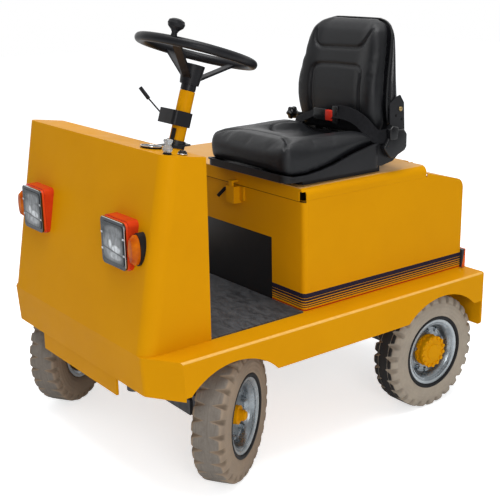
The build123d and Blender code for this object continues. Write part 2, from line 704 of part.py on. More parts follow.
def rear_axle():
    """Drive axle: tubes, differential casing, drive motor and brake drums."""
    y, z = WHEELBASE, AXLE_Z
    drum = TYRE_X - RIM_W / 2 - DRUM_GAP
    shape = rod((-drum, y, z), (drum, y, z), AXLE_TUBE_R)
    shape += Pos(0, y, z) * Sphere(DIFF_R)
    shape += rod((0, y, z), (0, y - GEAR_LEN, z + 10), GEAR_R)
    shape += rod((0, y - GEAR_LEN, z + 14), (0, y - GEAR_LEN - MOTOR_LEN, z + 14), MOTOR_R)
    for _, side in SIDES:
        shape += rod((side * (drum - 22), y, z), (side * drum, y, z), DRUM_R)
        shape += rod((side * drum, y, z), (side * (TYRE_X + HUB_INNER_T - 5), y, z),
                     AXLE_TUBE_R + 4)
        shape += rod((side * drum, y, z), (side * (TYRE_X + SPINDLE_END), y, z), SPINDLE_R)
    return shape


def deck_outline(inset, shift):
    """Deck outline from above: inset by a wall, with its front moved back by shift."""
    run, rise = DECK_HALF_W - FRONT_HALF_W, CHAMFER_Y - FRONT_Y
    front = FRONT_Y + shift + inset
    side = DECK_HALF_W - inset
    front_x = FRONT_HALF_W - inset * (math.hypot(run, rise) - run) / rise
    corner = front + (side - front_x) * rise / run
    return ((-front_x, front), (front_x, front), (side, corner), (side, DECK_REAR_Y),
            (-side, DECK_REAR_Y), (-side, corner))


def deck_layer(inset, z0, z1, rear):
    """Solid inside the deck's leaning front, its folds rounded, ending at the rear."""
    faces = []
    for z in (z0, z1):
        shift = FASCIA_SET * (DECK_Z - z) / (DECK_Z - FASCIA_Z)
        outline = [(x, rear if y == DECK_REAR_Y else y, z) for x, y in deck_outline(inset, shift)]
        faces.append(make_face(Polyline(*outline, close=True)))
    shape = loft(faces, ruled=True)
    folds = shape.edges().filter_by(
        lambda e: abs(abs(e.center().X) - FRONT_HALF_W) < 12 and e.center().Z < z1 - 5
        and e.center().Y < CHAMFER_Y - 20)
    shape = fillet(folds, FASCIA_FOLD_R - inset)
    sides = shape.edges().filter_by(
        lambda e: abs(e.center().Z - z1) < 0.1 and abs(e.center().X) > DECK_HALF_W - SHEET - 1)
    return fillet(sides, FOLD_R - inset)


def deck_body():
    """Bent deck plate with side aprons, chamfered front fascia and wheel arches."""
    below = FASCIA_Z - 10
    shape = deck_layer(0, FASCIA_Z, DECK_Z, DECK_REAR_Y)
    shape -= deck_layer(SHEET, below, DECK_Z - SHEET, DECK_REAR_Y + SINK)
    # lower edge of the aprons, and the arches over the wheels
    wide = DECK_HALF_W + SINK
    shape -= box(-wide, wide, CHAMFER_Y + FASCIA_SET, DECK_REAR_Y + SINK, below, APRON_Z)
    for y, (r, z) in ((FRONT_ARCH_SET, FRONT_ARCH), (WHEELBASE, REAR_ARCH)):
        for _, side in SIDES:
            shape -= rod((side * (DECK_HALF_W - 30), y, z), (side * wide, y, z), r)
    foot = column_at(DECK_Z)
    return shape - rod(along_column(foot - 20), along_column(foot + 20), COLUMN_R - COLUMN_WALL)


def rear_plate():
    """Heavy plate across the rear end."""
    shape = box(-DECK_HALF_W, DECK_HALF_W, DECK_REAR_Y, REAR_Y, REAR_PLATE_Z, DECK_Z)
    edges = shape.edges().filter_by(Axis.Y).sort_by(Axis.Z)
    shape = fillet(edges[:2], REAR_PLATE_R)
    top = shape.edges().filter_by(Axis.Y).sort_by(Axis.Z)[-2:]
    return fillet(top, FOLD_R)


def tow_hitch():
    """Two-jaw drawbar coupling on a backing plate."""
    jaw = None
    y_pin = REAR_Y + HITCH_REACH
    for z0 in (HITCH_Z - HITCH_GAP / 2 - HITCH_PLATE_T, HITCH_Z + HITCH_GAP / 2):
        z1 = z0 + HITCH_PLATE_T
        plate = box(-HITCH_JAW_R, HITCH_JAW_R, REAR_Y, y_pin, z0, z1)
        plate += upright(0, y_pin, z0, z1, HITCH_JAW_R)
        plate -= upright(0, y_pin, z0 - SINK, z1 + SINK, TOW_PIN_R + RUN)
        jaw = plate if jaw is None else jaw + plate
    half_h = HITCH_GAP / 2 + HITCH_PLATE_T + 14
    return jaw + box(-70, 70, REAR_Y, REAR_Y + 12, HITCH_Z - half_h, HITCH_Z + half_h)


def tow_pin():
    """Lift-out pin with a round head and a ring-shaped grip."""
    y_pin = REAR_Y + HITCH_REACH
    top = HITCH_Z + HITCH_GAP / 2 + HITCH_PLATE_T
    low = HITCH_Z - HITCH_GAP / 2 - HITCH_PLATE_T - 14
    shape = upright(0, y_pin, low, top + SEAT_GAP, TOW_PIN_R)
    shape += upright(0, y_pin, top + SEAT_GAP, top + 10, TOW_PIN_R + 8)
    shape += upright(0, y_pin, top + 10, top + 22, TOW_PIN_R - 4)
    return shape + Pos(0, y_pin, top + 42) * Rot(0, 90, 0) * Torus(22, 5)


# Cowl, dash and floor

def cowl_outline(inset, front, rear, z):
    """Cowl outline at height z, open part at the rear, with rounded front corners."""
    w = COWL_HALF_W - inset
    r = COWL_CORNER - inset
    s = r * math.sin(math.pi / 4)
    y0 = front + inset
    edges = [
        Line((-w + r, y0, z), (w - r, y0, z)),
        ThreePointArc((w - r, y0, z), (w - r + s, y0 + r - s, z), (w, y0 + r, z)),
        Line((w, y0 + r, z), (w, rear, z)),
        Line((w, rear, z), (-w, rear, z)),
        Line((-w, rear, z), (-w, y0 + r, z)),
        ThreePointArc((-w, y0 + r, z), (-w + r - s, y0 + r - s, z), (-w + r, y0, z)),
    ]
    return make_face(edges)


def front_at(z):
    """Y of the cowl's front face at height z."""
    return FRONT_Y + (COWL_TOP_Y - FRONT_Y) * (z - DECK_Z) / (COWL_TOP_Z - DECK_Z)


def cowl_layer(inset, low, high, rear):
    """Solid inside the cowl's leaning front, inset by its sheet."""
    return loft([cowl_outline(inset, front_at(z), rear, z) for z in (low, high)], ruled=True)


def above_dash(drop):
    """Everything above the sloped dash top, lowered by drop."""
    slope = DASH_DROP / (COWL_REAR_Y - COWL_TOP_Y)
    run, high, wide = 200, COWL_TOP_Z + 300, COWL_HALF_W + 50
    z0 = COWL_TOP_Z - drop + slope * run
    z1 = COWL_TOP_Z - drop - DASH_DROP - slope * run
    return prism_x(((COWL_TOP_Y - run, z0), (COWL_REAR_Y + run, z1), (COWL_REAR_Y + run, high),
                    (COWL_TOP_Y - run, high)), -wide, wide)


def cowl_shell():
    """Front panel, sides and sloped dash top, bent from one sheet and open at the rear."""
    high = COWL_TOP_Z + 20
    shape = cowl_layer(0, DECK_Z, high, COWL_REAR_Y) - above_dash(0)
    shape -= cowl_layer(COWL_T, DECK_Z - 10, high, COWL_REAR_Y + 10) - above_dash(COWL_T)
    w = COWL_HALF_W - COWL_T
    for _, side in SIDES:
        lip = box(side * w, side * (w - COWL_FLANGE), COWL_REAR_Y - COWL_T, COWL_REAR_Y,
                  DECK_Z + MAT_T + SEAT_GAP, high)
        shape += lip - above_dash(0)
    return shape


def dash_z(y):
    """Height of the dash top at y."""
    return COWL_TOP_Z - DASH_DROP * (y - COWL_TOP_Y) / (COWL_REAR_Y - COWL_TOP_Y)


def on_dash(x, y, lift=0):
    """A place on the dash top, its Z square to it."""
    tilt = -math.degrees(math.atan(DASH_DROP / (COWL_REAR_Y - COWL_TOP_Y)))
    return Pos(x, y, dash_z(y) + lift) * Rot(tilt, 0, 0)


def dash_bracket():
    """Tongue behind the dash's rear edge, its collar on the column and the collar's clamp bar."""
    z = dash_z(COWL_REAR_Y)
    offset = column_at(z)
    y_axis = along_column(offset).Y
    half = COLUMN_R + COLLAR_WALL + 4
    plate = box(COLUMN_X - half, COLUMN_X + half, COWL_REAR_Y, y_axis + half, z - 5, z)
    collar = rod(along_column(offset - 12), along_column(offset + 12), COLUMN_R + COLLAR_WALL)
    plane = Plane(origin=along_column(offset), x_dir=(1, 0, 0), z_dir=COLUMN_DIR)
    clamp = Pos(0, 0, CLAMP_BAR_H / 2) * Box(COLUMN_R * 2 + 12, 11, CLAMP_BAR_H)
    clamp = plane * Rot(0, 0, CLAMP_BAR_ANGLE) * (clamp & Pos(30, 0, 0) * Box(60, 20, 200))
    hole = rod(along_column(offset - 100), along_column(offset + 100), COLUMN_R + 0.01)
    return plate + collar + clamp - hole


# inset from the cowl's side, y, radius and height of the gauge, key switch and push knob's foot
DASH_ITEMS = ((192, -80, 30, 8), (75, -48, 13, 14), (112, -88, 16, 8))
# radius and height up the push knob's side
PUSH_KNOB = ((0, 0), (12, 0), (19, 7), (19, 16), (12, 24), (12, 29), (17, 38), (17, 50), (0, 50))


def dash_controls():
    """Gauge, key switch and hourglass push knob on the dash."""
    w = COWL_HALF_W
    shapes = [on_dash(w - x, y, 0.1) * Cylinder(r, h, align=(Align.CENTER, Align.CENTER, Align.MIN))
              for x, y, r, h in DASH_ITEMS]
    x, y, _, h = DASH_ITEMS[2]
    knob = make_face(Polyline(*[(r, 0, z) for r, z in PUSH_KNOB], close=True))
    shapes[2] += on_dash(w - x, y, h - SINK) * revolve(knob, Axis.Z, 360)
    return shapes


# x, pad width and pad height of the brake and accelerator
PEDALS = ((130, 60, 560), (45, 50, 530))
PEDAL_Y = -95
PEDAL_FOOT_Y = (-215, -165)


def pedals():
    """Brake and accelerator pedals with their arms, on the floor inside the cowl."""
    shapes = []
    floor = DECK_Z + MAT_T
    for x, w, z in PEDALS:
        pad = Pos(x, PEDAL_Y, z) * Rot(-50, 0, 0) * Box(w, 90, 8)
        arm = rod((x, PEDAL_Y - 1, z - 1), (x, sum(PEDAL_FOOT_Y) / 2, floor + 14), 7)
        shapes.append(pad + arm + box(x - 22, x + 22, *PEDAL_FOOT_Y, floor, floor + 22))
    return shapes


def floor_mat():
    half = COWL_HALF_W - MAT_EDGE
    shape = box(-half, half, FRONT_Y + 20, BOX_FRONT_Y - SEAT_GAP, DECK_Z, DECK_Z + MAT_T)
    hole = FOOT_HALF + 1
    shape -= box(COLUMN_X - hole, COLUMN_X + hole, COLUMN_FOOT_Y - hole, COLUMN_FOOT_Y + hole,
                 DECK_Z - SINK, DECK_Z + MAT_T + SINK)
    outline = cowl_outline(COWL_T + 2, FRONT_Y, BOX_FRONT_Y, DECK_Z)
    return shape & extrude(outline, amount=MAT_T, dir=(0, 0, 1))


def box_outline(inset):
    """Side outline of the battery box, inset by its sheet."""
    y0, y1 = BOX_FRONT_Y + inset, BOX_REAR_Y - inset
    step = LID_REAR_Y + 6
    drop = (EAR_HIGH_Z - EAR_LOW_Z) / (BOX_REAR_Y - step)
    lower = inset * math.hypot(1, drop)
    return ((y0, DECK_Z), (y1, DECK_Z), (y1, EAR_LOW_Z - lower + inset * drop),
            (step, EAR_HIGH_Z - lower), (step, BOX_SIDE_Z), (y0, BOX_SIDE_Z))


def box_layer(inset):
    """Solid inside the battery box's sheet, with its bends rounded."""
    w = COWL_HALF_W - inset
    shape = prism_x(box_outline(inset), -w, w)
    if inset == 0:
        ear = shape.edges().filter_by(Axis.X).filter_by(
            lambda e: e.center().Y > BOX_REAR_Y - 1 and e.center().Z > EAR_LOW_Z - 1)
        shape = fillet(ear, EAR_CORNER)
    front = shape.edges().filter_by(Axis.Z).filter_by(
        lambda e: e.center().Y < BOX_FRONT_Y + inset + 1)
    return fillet(front, FRONT_BEND - inset)


def battery_box():
    """Fixed box over the battery: front wall, sides, sloped rear top and rear panel."""
    shape = box_layer(0) - box_layer(BOX_T)
    shape -= box(-KICK_HALF_W, KICK_HALF_W, BOX_FRONT_Y - SINK, BOX_FRONT_Y + BOX_T + SINK,
                 DECK_Z, KICK_Z)
    # shelf under the lid's rear flange
    back = LID_REAR_Y + 6
    front = back - SHELF_W
    reach = COWL_HALF_W - FRONT_BEND + BOX_T
    shape += box(-reach, reach, front, back, EAR_HIGH_Z - BOX_T, EAR_HIGH_Z)
    return shape + box(-reach, reach, front, front + BOX_T, BOX_SIDE_Z - BOX_T, EAR_HIGH_Z)


def kick_panel():
    """Recessed black panel behind the opening in the front wall."""
    y = BOX_FRONT_Y + BOX_T
    half = KICK_HALF_W + KICK_LAP
    return box(-half, half, y, y + BOX_T, DECK_Z, KICK_Z + KICK_LAP)


def battery():
    half = BATTERY_W / 2
    return box(-half, half, BOX_FRONT_Y + BATTERY_GAP, LID_REAR_Y - BATTERY_GAP, DECK_Z,
               DECK_Z + BATTERY_H)


# Lid and what rides on it

def arch(inset, front, rear, low):
    """Solid under the lid's rolled top, inset by its sheet."""
    r = LID_ROLL - inset
    w = COWL_HALF_W - inset
    top = LID_Z - inset
    s = r * math.sin(math.pi / 4)
    edges = [
        Line((-w, front, low), (-w, front, top - r)),
        ThreePointArc((-w, front, top - r), (-w + r - s, front, top - r + s),
                      (-w + r, front, top)),
        Line((-w + r, front, top), (w - r, front, top)),
        ThreePointArc((w - r, front, top), (w - r + s, front, top - r + s), (w, front, top - r)),
        Line((w, front, top - r), (w, front, low)),
        Line((w, front, low), (-w, front, low)),
    ]
    return extrude(make_face(edges), amount=rear - front, dir=(0, 1, 0))


def lid():
    """Hinged lid: top plate with rolled side flanges, front lip and corner notches."""
    w = COWL_HALF_W
    low = BOX_SIDE_Z + SEAT_GAP
    y0, y1 = LIP_Y, LID_REAR_Y
    shape = arch(0, y0, y1, low) - arch(BOX_T, y0 + BOX_T, y1 + SINK, low - SINK)
    lip_x = w - NOTCH_W
    # front lip reaches below the sides' edge line, between the corner notches
    shape += box(-lip_x, lip_x, y0, y0 + BOX_T, LIP_Z, LID_Z - 10)
    # rear flange over the box's shelf
    shape += box(-w + LID_ROLL, w - LID_ROLL, y1 - BOX_T, y1, EAR_HIGH_Z + 2, LID_Z - 1)
    for _, side in SIDES:
        shape -= box(side * lip_x, side * (w + SINK), y0 - SINK, y0 + 14, low - SINK,
                     LID_Z - NOTCH_TOP)
    half = HINGE_LEN / 2
    for x in HINGE_XS:
        ends = ((x - half, HINGE_Y, HINGE_Z), (x + half, HINGE_Y, HINGE_Z))
        leaf = box(x - half, x + half, y1 - 40, HINGE_Y, HINGE_Z + 5, LID_Z)
        shape += rod(*ends, HINGE_BARREL_R) + leaf
        shape -= rod(*ends, HINGE_PIN_R + RUN)
    return shape


def hinge_brackets():
    """Hinge pins and their ears, welded to the sloped rear top."""
    shapes = []
    half = HINGE_LEN / 2
    for x in HINGE_XS:
        reach = half + HINGE_EAR_T + 6
        shape = rod((x - reach, HINGE_Y, HINGE_Z), (x + reach, HINGE_Y, HINGE_Z), HINGE_PIN_R)
        for s in (-1, 1):
            xs = (x + s * (half + 1), x + s * (half + 1 + HINGE_EAR_T))
            shape += rod((xs[0], HINGE_Y, HINGE_Z), (xs[1], HINGE_Y, HINGE_Z), HINGE_BARREL_R)
            shape += box(*xs, HINGE_Y - 4, HINGE_Y + 30, EAR_HIGH_Z - 8, HINGE_Z)
        y0, y1 = LID_REAR_Y + 6, HINGE_Y + 60
        below = prism_x(((y0 - 10, EAR_HIGH_Z - 60), (y1, EAR_HIGH_Z - 60), (y1, ear_z(y1)),
                         (y0, EAR_HIGH_Z), (y0 - 10, EAR_HIGH_Z)), x - 90, x + 90)
        shapes.append(shape - below)
    return shapes


def ear_z(y):
    """Height of the sloped rear top at y."""
    y0 = LID_REAR_Y + 6
    return EAR_HIGH_Z + (EAR_LOW_Z - EAR_HIGH_Z) * (y - y0) / (BOX_REAR_Y - y0)


# latch: x range, depth in front of the wall, lowest z
LATCH_X = (58, 132)
LATCH_D = 30
LATCH_LOW = 774


def latch():
    """Toggle latch on the box's front wall, its hook in front of the lid's lip."""
    y = BOX_FRONT_Y
    x0, x1 = LATCH_X
    body = box(x0, x1, y - 6, y, LATCH_LOW + 10, LIP_Z - 4)
    body += box(x0 + 8, x1 - 22, y - LATCH_D, y, LATCH_LOW, LIP_Z - 4)
    hook = box(x0 + 24, x0 + 42, y - LATCH_D, y - LATCH_D + 8, LIP_Z - 8, LIP_Z + 16)
    hook += box(x0 + 24, x0 + 42, y - LATCH_D, LIP_Y - SEAT_GAP, LIP_Z + 10, LIP_Z + 16)
    elbow = (x0 - 10, y - LATCH_D + 8, LIP_Z - 20)
    arm = rod((x0 + 12, y - 18, LIP_Z - 18), elbow, 6)
    return body + hook + arm + rod(elbow, (x0 - 30, y - LATCH_D - 6, LIP_Z - 46), 6)


# Seat: y and height of the pan's rim along its side, front to rear
PAN_RIM = ((270, 923), (312, 915), (364, 914), (419, 921), (474, 932), (559, 957), (640, 975),
           (700, 985))
# y and height round the hinge plate beside the backrest
HINGE_PLATE = ((662, 905), (690, 900), (741, 910), (775, 934), (792, 963), (794, 1003),
               (788, 1100), (770, 1126), (747, 1118), (722, 1100), (726, 1032), (705, 1000),
               (662, 982))
# y and height round the belt retractor's side
RETRACTOR = ((676, 962), (706, 926), (722, 924), (776, 944), (784, 1000), (770, 1016),
             (722, 1020), (708, 1004))
PLATE_T = 5
RETRACTOR_W = 26
# backrest pivot: its place, radius and inner end, against the shell's side
RECLINE_YZ = (753, 1062)
RECLINE_R = 12
RECLINE_REACH = 196


def pan_block(grow, low, high):
    """Rounded pan outline seen from above, grown by a lip or shrunk by the sheet."""
    w, r = PAN_HALF_W + grow, PAN_CORNER + grow
    y0, y1 = PAN_FRONT_Y - grow, PAN_REAR_Y + grow
    spot = Pos(SEAT_X, (y0 + y1) / 2, low)
    return extrude(spot * RectangleRounded(2 * w, y1 - y0, r), amount=high - low)


def over_rim(drop):
    """Everything above the pan's rim line, lowered by drop."""
    w = PAN_HALF_W + 20
    line = [(y, z - drop) for y, z in PAN_RIM]
    (y0, z0), (y1, z1) = line[0], line[-1]
    high = z1 + LID_Z
    points = [(y0 - 40, z0), *line, (y1 + 40, z1), (y1 + 40, high), (y0 - 40, high)]
    return prism_x(points, SEAT_X - w, SEAT_X + w)


def seat_base():
    """Pressed pan with its rolled rim, slide rails and the hinge plates at its rear."""
    high = PAN_RIM[-1][1] + 5
    pan = pan_block(0, PAN_Z, high) - pan_block(-PAN_T, PAN_Z + PAN_T, high + SINK) - over_rim(0)
    lip = pan_block(PAN_LIP, PAN_Z, high) - pan_block(-PAN_T, PAN_Z, high) - over_rim(0)
    pan += lip & over_rim(PAN_LIP)
    for s in (-1, 1):
        x = SEAT_X + s * (PAN_HALF_W - RAIL_SET)
        pan += box(x, x - s * 2 * RAIL_HALF, PAN_FRONT_Y + 85, PAN_REAR_Y + 8, LID_Z, PAN_Z + SINK)
        side = SEAT_X + s * (PAN_HALF_W - PAN_T)
        pan += prism_x(HINGE_PLATE, side, side - s * PLATE_T)
        pan += rod((side, *RECLINE_YZ), (SEAT_X + s * RECLINE_REACH, *RECLINE_YZ), RECLINE_R)
    return pan


def seat_cushion():
    """Cushion with a rolled front and raised sides, filling the pan."""
    w = PAN_HALF_W - CUSHION_INSET
    low = PAN_Z + PAN_T + SEAT_GAP
    front, rear = PAN_FRONT_Y + CUSHION_INSET, PAN_REAR_Y - CUSHION_INSET
    back, top = CUSHION_REAR_Y, CUSHION_TOP_Z
    # y and height over the cushion's side
    side = ((front, low), (front - 2, top - 61), (front + 20, top - 18), (front + 55, top - 6),
            (front + 140, top - 2), (back - 60, top), (back - 12, top - 12), (back, top - 48),
            (rear, top - 54), (rear, low))
    shape = prism_x(side, SEAT_X - w, SEAT_X + w)
    trough = prism_x(((front + 120, top + 14), (front + 190, top - 16), (back, top - 31),
                      (back + 20, top + 14)), SEAT_X - w + BOLSTER_W, SEAT_X + w - BOLSTER_W)
    crest = shape.edges().filter_by(
        lambda e: abs(abs(e.center().X - SEAT_X) - w) < 0.5 and e.center().Z > top - 46)
    shape = fillet(crest, CUSHION_ROLL)
    plates = PAN_HALF_W - PAN_T - PLATE_T - SINK       # the cushion stops in front of them
    for s in (-1, 1):
        shape -= box(SEAT_X + s * plates, SEAT_X + s * PAN_HALF_W, HINGE_PLATE[0][0] - SINK,
                     rear + SINK, low - SINK, top)
    return (shape & pan_block(-CUSHION_INSET, low, top + SINK)) - trough


# Backrest sections: height, half width, front y, y of the split to the shell, shell's rear y
BACK_ROWS = (
    (989, 184, 681, 702, 801), (1033, 192, 666, 726, 798), (1100, 198, 654, 713, 791),
    (1175, 195, 659, 719, 782), (1260, 184, 679, 739, 782), (1330, 167, 701, 761, 783),
    (1352, 146, 716, 770, 783), (1366, 112, 742, 773, 781),
)
# Shell below the backrest's cushion: height, half width, rear y
SHELL_ROWS = ((898, 168, 708), (914, 180, 754), (947, 183, 785))


def back_section(z, w, front, rear, corner):
    """A level backrest section with rounded corners."""
    r = min(corner, (rear - front) / 2 - 1)
    return Pos(SEAT_X, (front + rear) / 2, z) * RectangleRounded(2 * w, rear - front, r)


def seat_backrest():
    """Upholstered front of the backrest, narrower and further back towards its top."""
    faces = [back_section(z, w, front, split - SEAT_GAP, 14)
             for z, w, front, split, _ in BACK_ROWS]
    return loft(faces, ruled=True)


def seat_back_shell():
    """Hard shell behind the backrest cushion, reaching down behind the pan."""
    front = PAN_REAR_Y + PAN_LIP + SEAT_GAP
    faces = [back_section(z, w, front, rear, 5) for z, w, rear in SHELL_ROWS]
    faces += [back_section(z, w, split, rear, 5) for z, w, _, split, rear in BACK_ROWS]
    return loft(faces, ruled=True)


# belt: x, y, z of the strap's path from the retractor over the lap to the buckle
BELT_PATH = ((428, 716, 1006), (400, 656, 1034), (340, 630, 1060), (222, 638, 1060))
BUCKLE = (150, 222, 628, 646, 1036, 1084)
# x, y, z of the buckle's own short strap
STAY_PATH = ((150, 638, 1058), (62, 642, 1046), (2, 656, 1028), (-9, 704, 1020))
RECLINE_KNOB = (-48, 720, 1012, 23)


def seat_belt():
    """Retractor on the seat's side, lap strap, buckle with its stay, and the recline knob."""
    out = SEAT_X + PAN_HALF_W
    inner = out - PAN_T + SEAT_GAP
    shape = prism_x(RETRACTOR, inner, inner + RETRACTOR_W)
    up = (0, 0.35, 1)
    for path in (BELT_PATH, STAY_PATH):
        for start, end in zip(path, path[1:]):
            shape += bar(start, end, BELT_W, BELT_T, up)
            shape += rod((end[0], end[1] - 6, end[2] - 18), (end[0], end[1] + 6, end[2] + 18), 2.5)
    shape += box(*BUCKLE)
    x, y, z, r = RECLINE_KNOB
    stem = SEAT_X - PAN_HALF_W + PAN_T - SEAT_GAP
    return shape, rod((x, y, z), (x + 24, y, z), r) + rod((x, y, z), (stem, y, z), 8)


# Lamps

def lamp_face(w, h, y, r):
    """A rounded lamp outline facing the front, at y."""
    return Pos(0, y, LAMP_Z) * Rot(90, 0, 0) * RectangleRounded(w, h, r)


def headlights():
    """Wedge housings, frames and patterned lenses, one of each a side."""
    housings, frames, lenses = [], [], []
    back_y = LAMP_FACE_Y + LAMP_RING_T
    for _, side in SIDES:
        x = side * LAMP_X
        wide, high = LAMP_W + 2 * LAMP_LAP, LAMP_H + 2 * LAMP_LAP
        body = extrude(lamp_face(wide, high, back_y, LAMP_CORNER + LAMP_LAP), amount=120,
                       dir=(0, 1, 0))
        cowl = cowl_layer(-0.1, DECK_Z, COWL_TOP_Z, COWL_REAR_Y)
        housings.append(Pos(x, 0, 0) * body - cowl)
        ring = extrude(lamp_face(LAMP_W, LAMP_H, LAMP_FACE_Y, LAMP_CORNER),
                       amount=LAMP_RING_T - SEAT_GAP, dir=(0, 1, 0))
        gap = LAMP_W - 2 * LAMP_RING_W
        ring -= extrude(lamp_face(gap, gap, LAMP_FACE_Y - SINK, LAMP_CORNER - 5), amount=9,
                        dir=(0, 1, 0))
        frames.append(Pos(x, 0, 0) * ring)
        glass = gap - 2 * SEAT_GAP
        lens = extrude(lamp_face(glass, glass, LAMP_FACE_Y - 2, LAMP_CORNER - 5),
                       amount=10 - SEAT_GAP, dir=(0, 1, 0))
        lenses.append(Pos(x, 0, 0) * lens)
    return housings, frames, lenses


def marker_lamps():
    """Oval indicator lamps: black base against the cowl and a domed lens."""
    bases, lenses = [], []
    for _, side in SIDES:
        spot = Pos(side * MARKER_X, MARKER_FACE_Y, MARKER_Z) * Rot(-90, 0, 0)
        cowl = cowl_layer(-0.1, DECK_Z, COWL_TOP_Z, COWL_REAR_Y)
        wide = extrude(Ellipse(MARKER_W / 2, MARKER_H / 2), amount=90)
        base = spot * Pos(0, 0, MARKER_LENS_D + SEAT_GAP) * wide - cowl
        bases.append(base)
        low, high = [Ellipse(MARKER_W / 2 - k, MARKER_H / 2 - k) for k in (MARKER_RIM, 14)]
        lens = loft([low, Pos(0, 0, MARKER_LENS_D - 12) * low])
        lens += loft([Pos(0, 0, MARKER_LENS_D - 12) * low, Pos(0, 0, MARKER_LENS_D) * high])
        lenses.append(spot * Pos(0, 0, MARKER_LENS_D) * Rot(180, 0, 0) * lens)
    return bases, lenses


def rear_lamps():
    """Tail lamps low on the box's rear panel, reaching past its sides."""
    shapes = []
    for _, side in SIDES:
        out = side * (COWL_HALF_W + TAIL_OUT)
        lamp = box(out, out - side * TAIL_W, BOX_REAR_Y + 0.1, BOX_REAR_Y + TAIL_D, *TAIL_Z)
        edges = lamp.edges().filter_by(Axis.Z).filter_by(
            lambda e: e.center().Y > BOX_REAR_Y + 5)
        shapes.append(fillet(edges, 5))
    return shapes


def write(name, shape):
    """Shifts a piece to the vehicle's centre and writes its file."""
    if isinstance(shape, (list, tuple)):
        shape = Compound(children=[Pos(0, Y_SHIFT, 0) * s for s in shape])
    else:
        shape = Pos(0, Y_SHIFT, 0) * shape
    export_step(shape, "parts/" + name + ".step")


def main():
    makers = {
        "chassis_frame": chassis_frame, "deck_body": deck_body, "rear_plate": rear_plate,
        "tow_hitch": tow_hitch, "tow_pin": tow_pin, "cowl_shell": cowl_shell,
        "dash_bracket": dash_bracket, "dash_controls": dash_controls, "pedals": pedals,
        "floor_mat": floor_mat, "battery_box": battery_box, "kick_panel": kick_panel,
        "battery": battery, "lid": lid, "hinge_brackets": hinge_brackets, "latch": latch,
        "front_axle_beam": front_axle_beam, "tie_rod": tie_rod, "drag_link": drag_link,
        "drop_arm": drop_arm, "steering_box": steering_box, "column_tube": column_tube,
        "column_switch": column_switch, "steering_wheel": steering_wheel,
        "spinner_knob": spinner_knob, "rear_axle": rear_axle, "seat_base": seat_base,
        "seat_cushion": seat_cushion, "seat_backrest": seat_backrest,
        "seat_back_shell": seat_back_shell, "seat_belt": seat_belt, "rear_lamps": rear_lamps,
    }
    for name, make in makers.items():
        write(name, make())
    for name, shapes in zip(("headlight_housings", "headlight_frames", "headlight_lenses"),
                            headlights()):
        write(name, shapes)
    for name, shapes in zip(("marker_bases", "marker_lenses"), marker_lamps()):
        write(name, shapes)
    pieces = {"tyre": (tyre(),) * 2, "rim": (rim(),) * 2, "hub": (front_hub(), rear_hub())}
    for side_name, side in SIDES:
        write("knuckle_" + side_name, knuckle(side))
        for piece, (front, rear) in pieces.items():
            write(piece + "_front_" + side_name, steered(wheel_place(side, 0) * front, side))
            write(piece + "_rear_" + side_name, wheel_place(side, WHEELBASE) * rear)


if __name__ == "__main__":
    main()
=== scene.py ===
import json
import math

import bpy
from mathutils import Matrix, Quaternion, Vector


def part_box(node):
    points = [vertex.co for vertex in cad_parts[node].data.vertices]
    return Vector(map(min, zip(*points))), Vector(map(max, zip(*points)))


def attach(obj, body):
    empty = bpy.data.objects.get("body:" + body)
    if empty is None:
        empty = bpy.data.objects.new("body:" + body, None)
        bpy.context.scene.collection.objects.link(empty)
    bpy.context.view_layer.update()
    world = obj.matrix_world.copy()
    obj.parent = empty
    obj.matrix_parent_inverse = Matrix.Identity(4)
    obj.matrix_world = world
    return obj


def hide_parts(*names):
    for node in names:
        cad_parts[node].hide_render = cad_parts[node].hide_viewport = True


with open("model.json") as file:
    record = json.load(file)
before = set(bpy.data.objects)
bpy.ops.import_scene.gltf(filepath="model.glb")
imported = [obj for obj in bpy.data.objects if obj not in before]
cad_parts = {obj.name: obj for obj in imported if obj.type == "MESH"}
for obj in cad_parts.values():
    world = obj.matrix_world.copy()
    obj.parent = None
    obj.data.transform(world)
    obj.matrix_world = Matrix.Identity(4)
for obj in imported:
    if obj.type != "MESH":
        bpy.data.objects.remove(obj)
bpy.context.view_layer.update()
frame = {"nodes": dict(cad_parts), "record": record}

# The camera, fitted to the photograph
PHOTO_SIZE = 500                 # pixels each way
FOCAL_PX = 953.39
PRINCIPAL_PX = (292.81, 241.71)
AZIMUTH = math.radians(50.59)
ELEVATION = math.radians(16.06)
ROLL = math.radians(-0.23)
CAMERA_AT = (2615.57, -1498.10, 1529.95)     # from the front axle, in millimetres
SENSOR = 36.0

# Colours, linear
YELLOW = (0.665, 0.290, 0.002)
YELLOW_DEEP = (0.625, 0.267, 0.002)
LID_DUST_AND_SHEEN = (0.66, 0.36, 0.12)       # the lid's top, with dust and a painted sky reflection on it
NAVY = (0.012, 0.014, 0.036)
RED = (0.38, 0.010, 0.008)
LAMP_RED = (0.68, 0.055, 0.010)
BLACK = (0.010, 0.010, 0.011)
BEIGE = (0.37, 0.315, 0.250)
BEIGE_WARM = (0.300, 0.225, 0.160)
BEIGE_DIRTY = (0.20, 0.175, 0.155)

CORNERS = ("front_left", "front_right", "rear_left", "rear_right")
JOINTS = {joint["name"]: joint for joint in frame["record"]["behaviour"]["joints"]}
AXLE_Y = JOINTS["kingpin_left"]["pos_m"][1]


def at(x, y, z):
    """A place in millimetres, measured from the ground below the front axle's middle."""
    return Vector((x / 1000, y / 1000 + AXLE_Y, z / 1000))


# Node helpers

def put(tree, kind, inputs=None, **settings):
    """Adds a shader node; an input is a value or another node's output."""
    node = tree.nodes.new(kind)
    for key, value in settings.items():
        setattr(node, key, value)
    for key, value in (inputs or {}).items():
        if isinstance(value, bpy.types.NodeSocket):
            tree.links.new(value, node.inputs[key])
        else:
            node.inputs[key].default_value = value
    return node


def object_coords(tree):
    return put(tree, "ShaderNodeTexCoord").outputs["Object"]


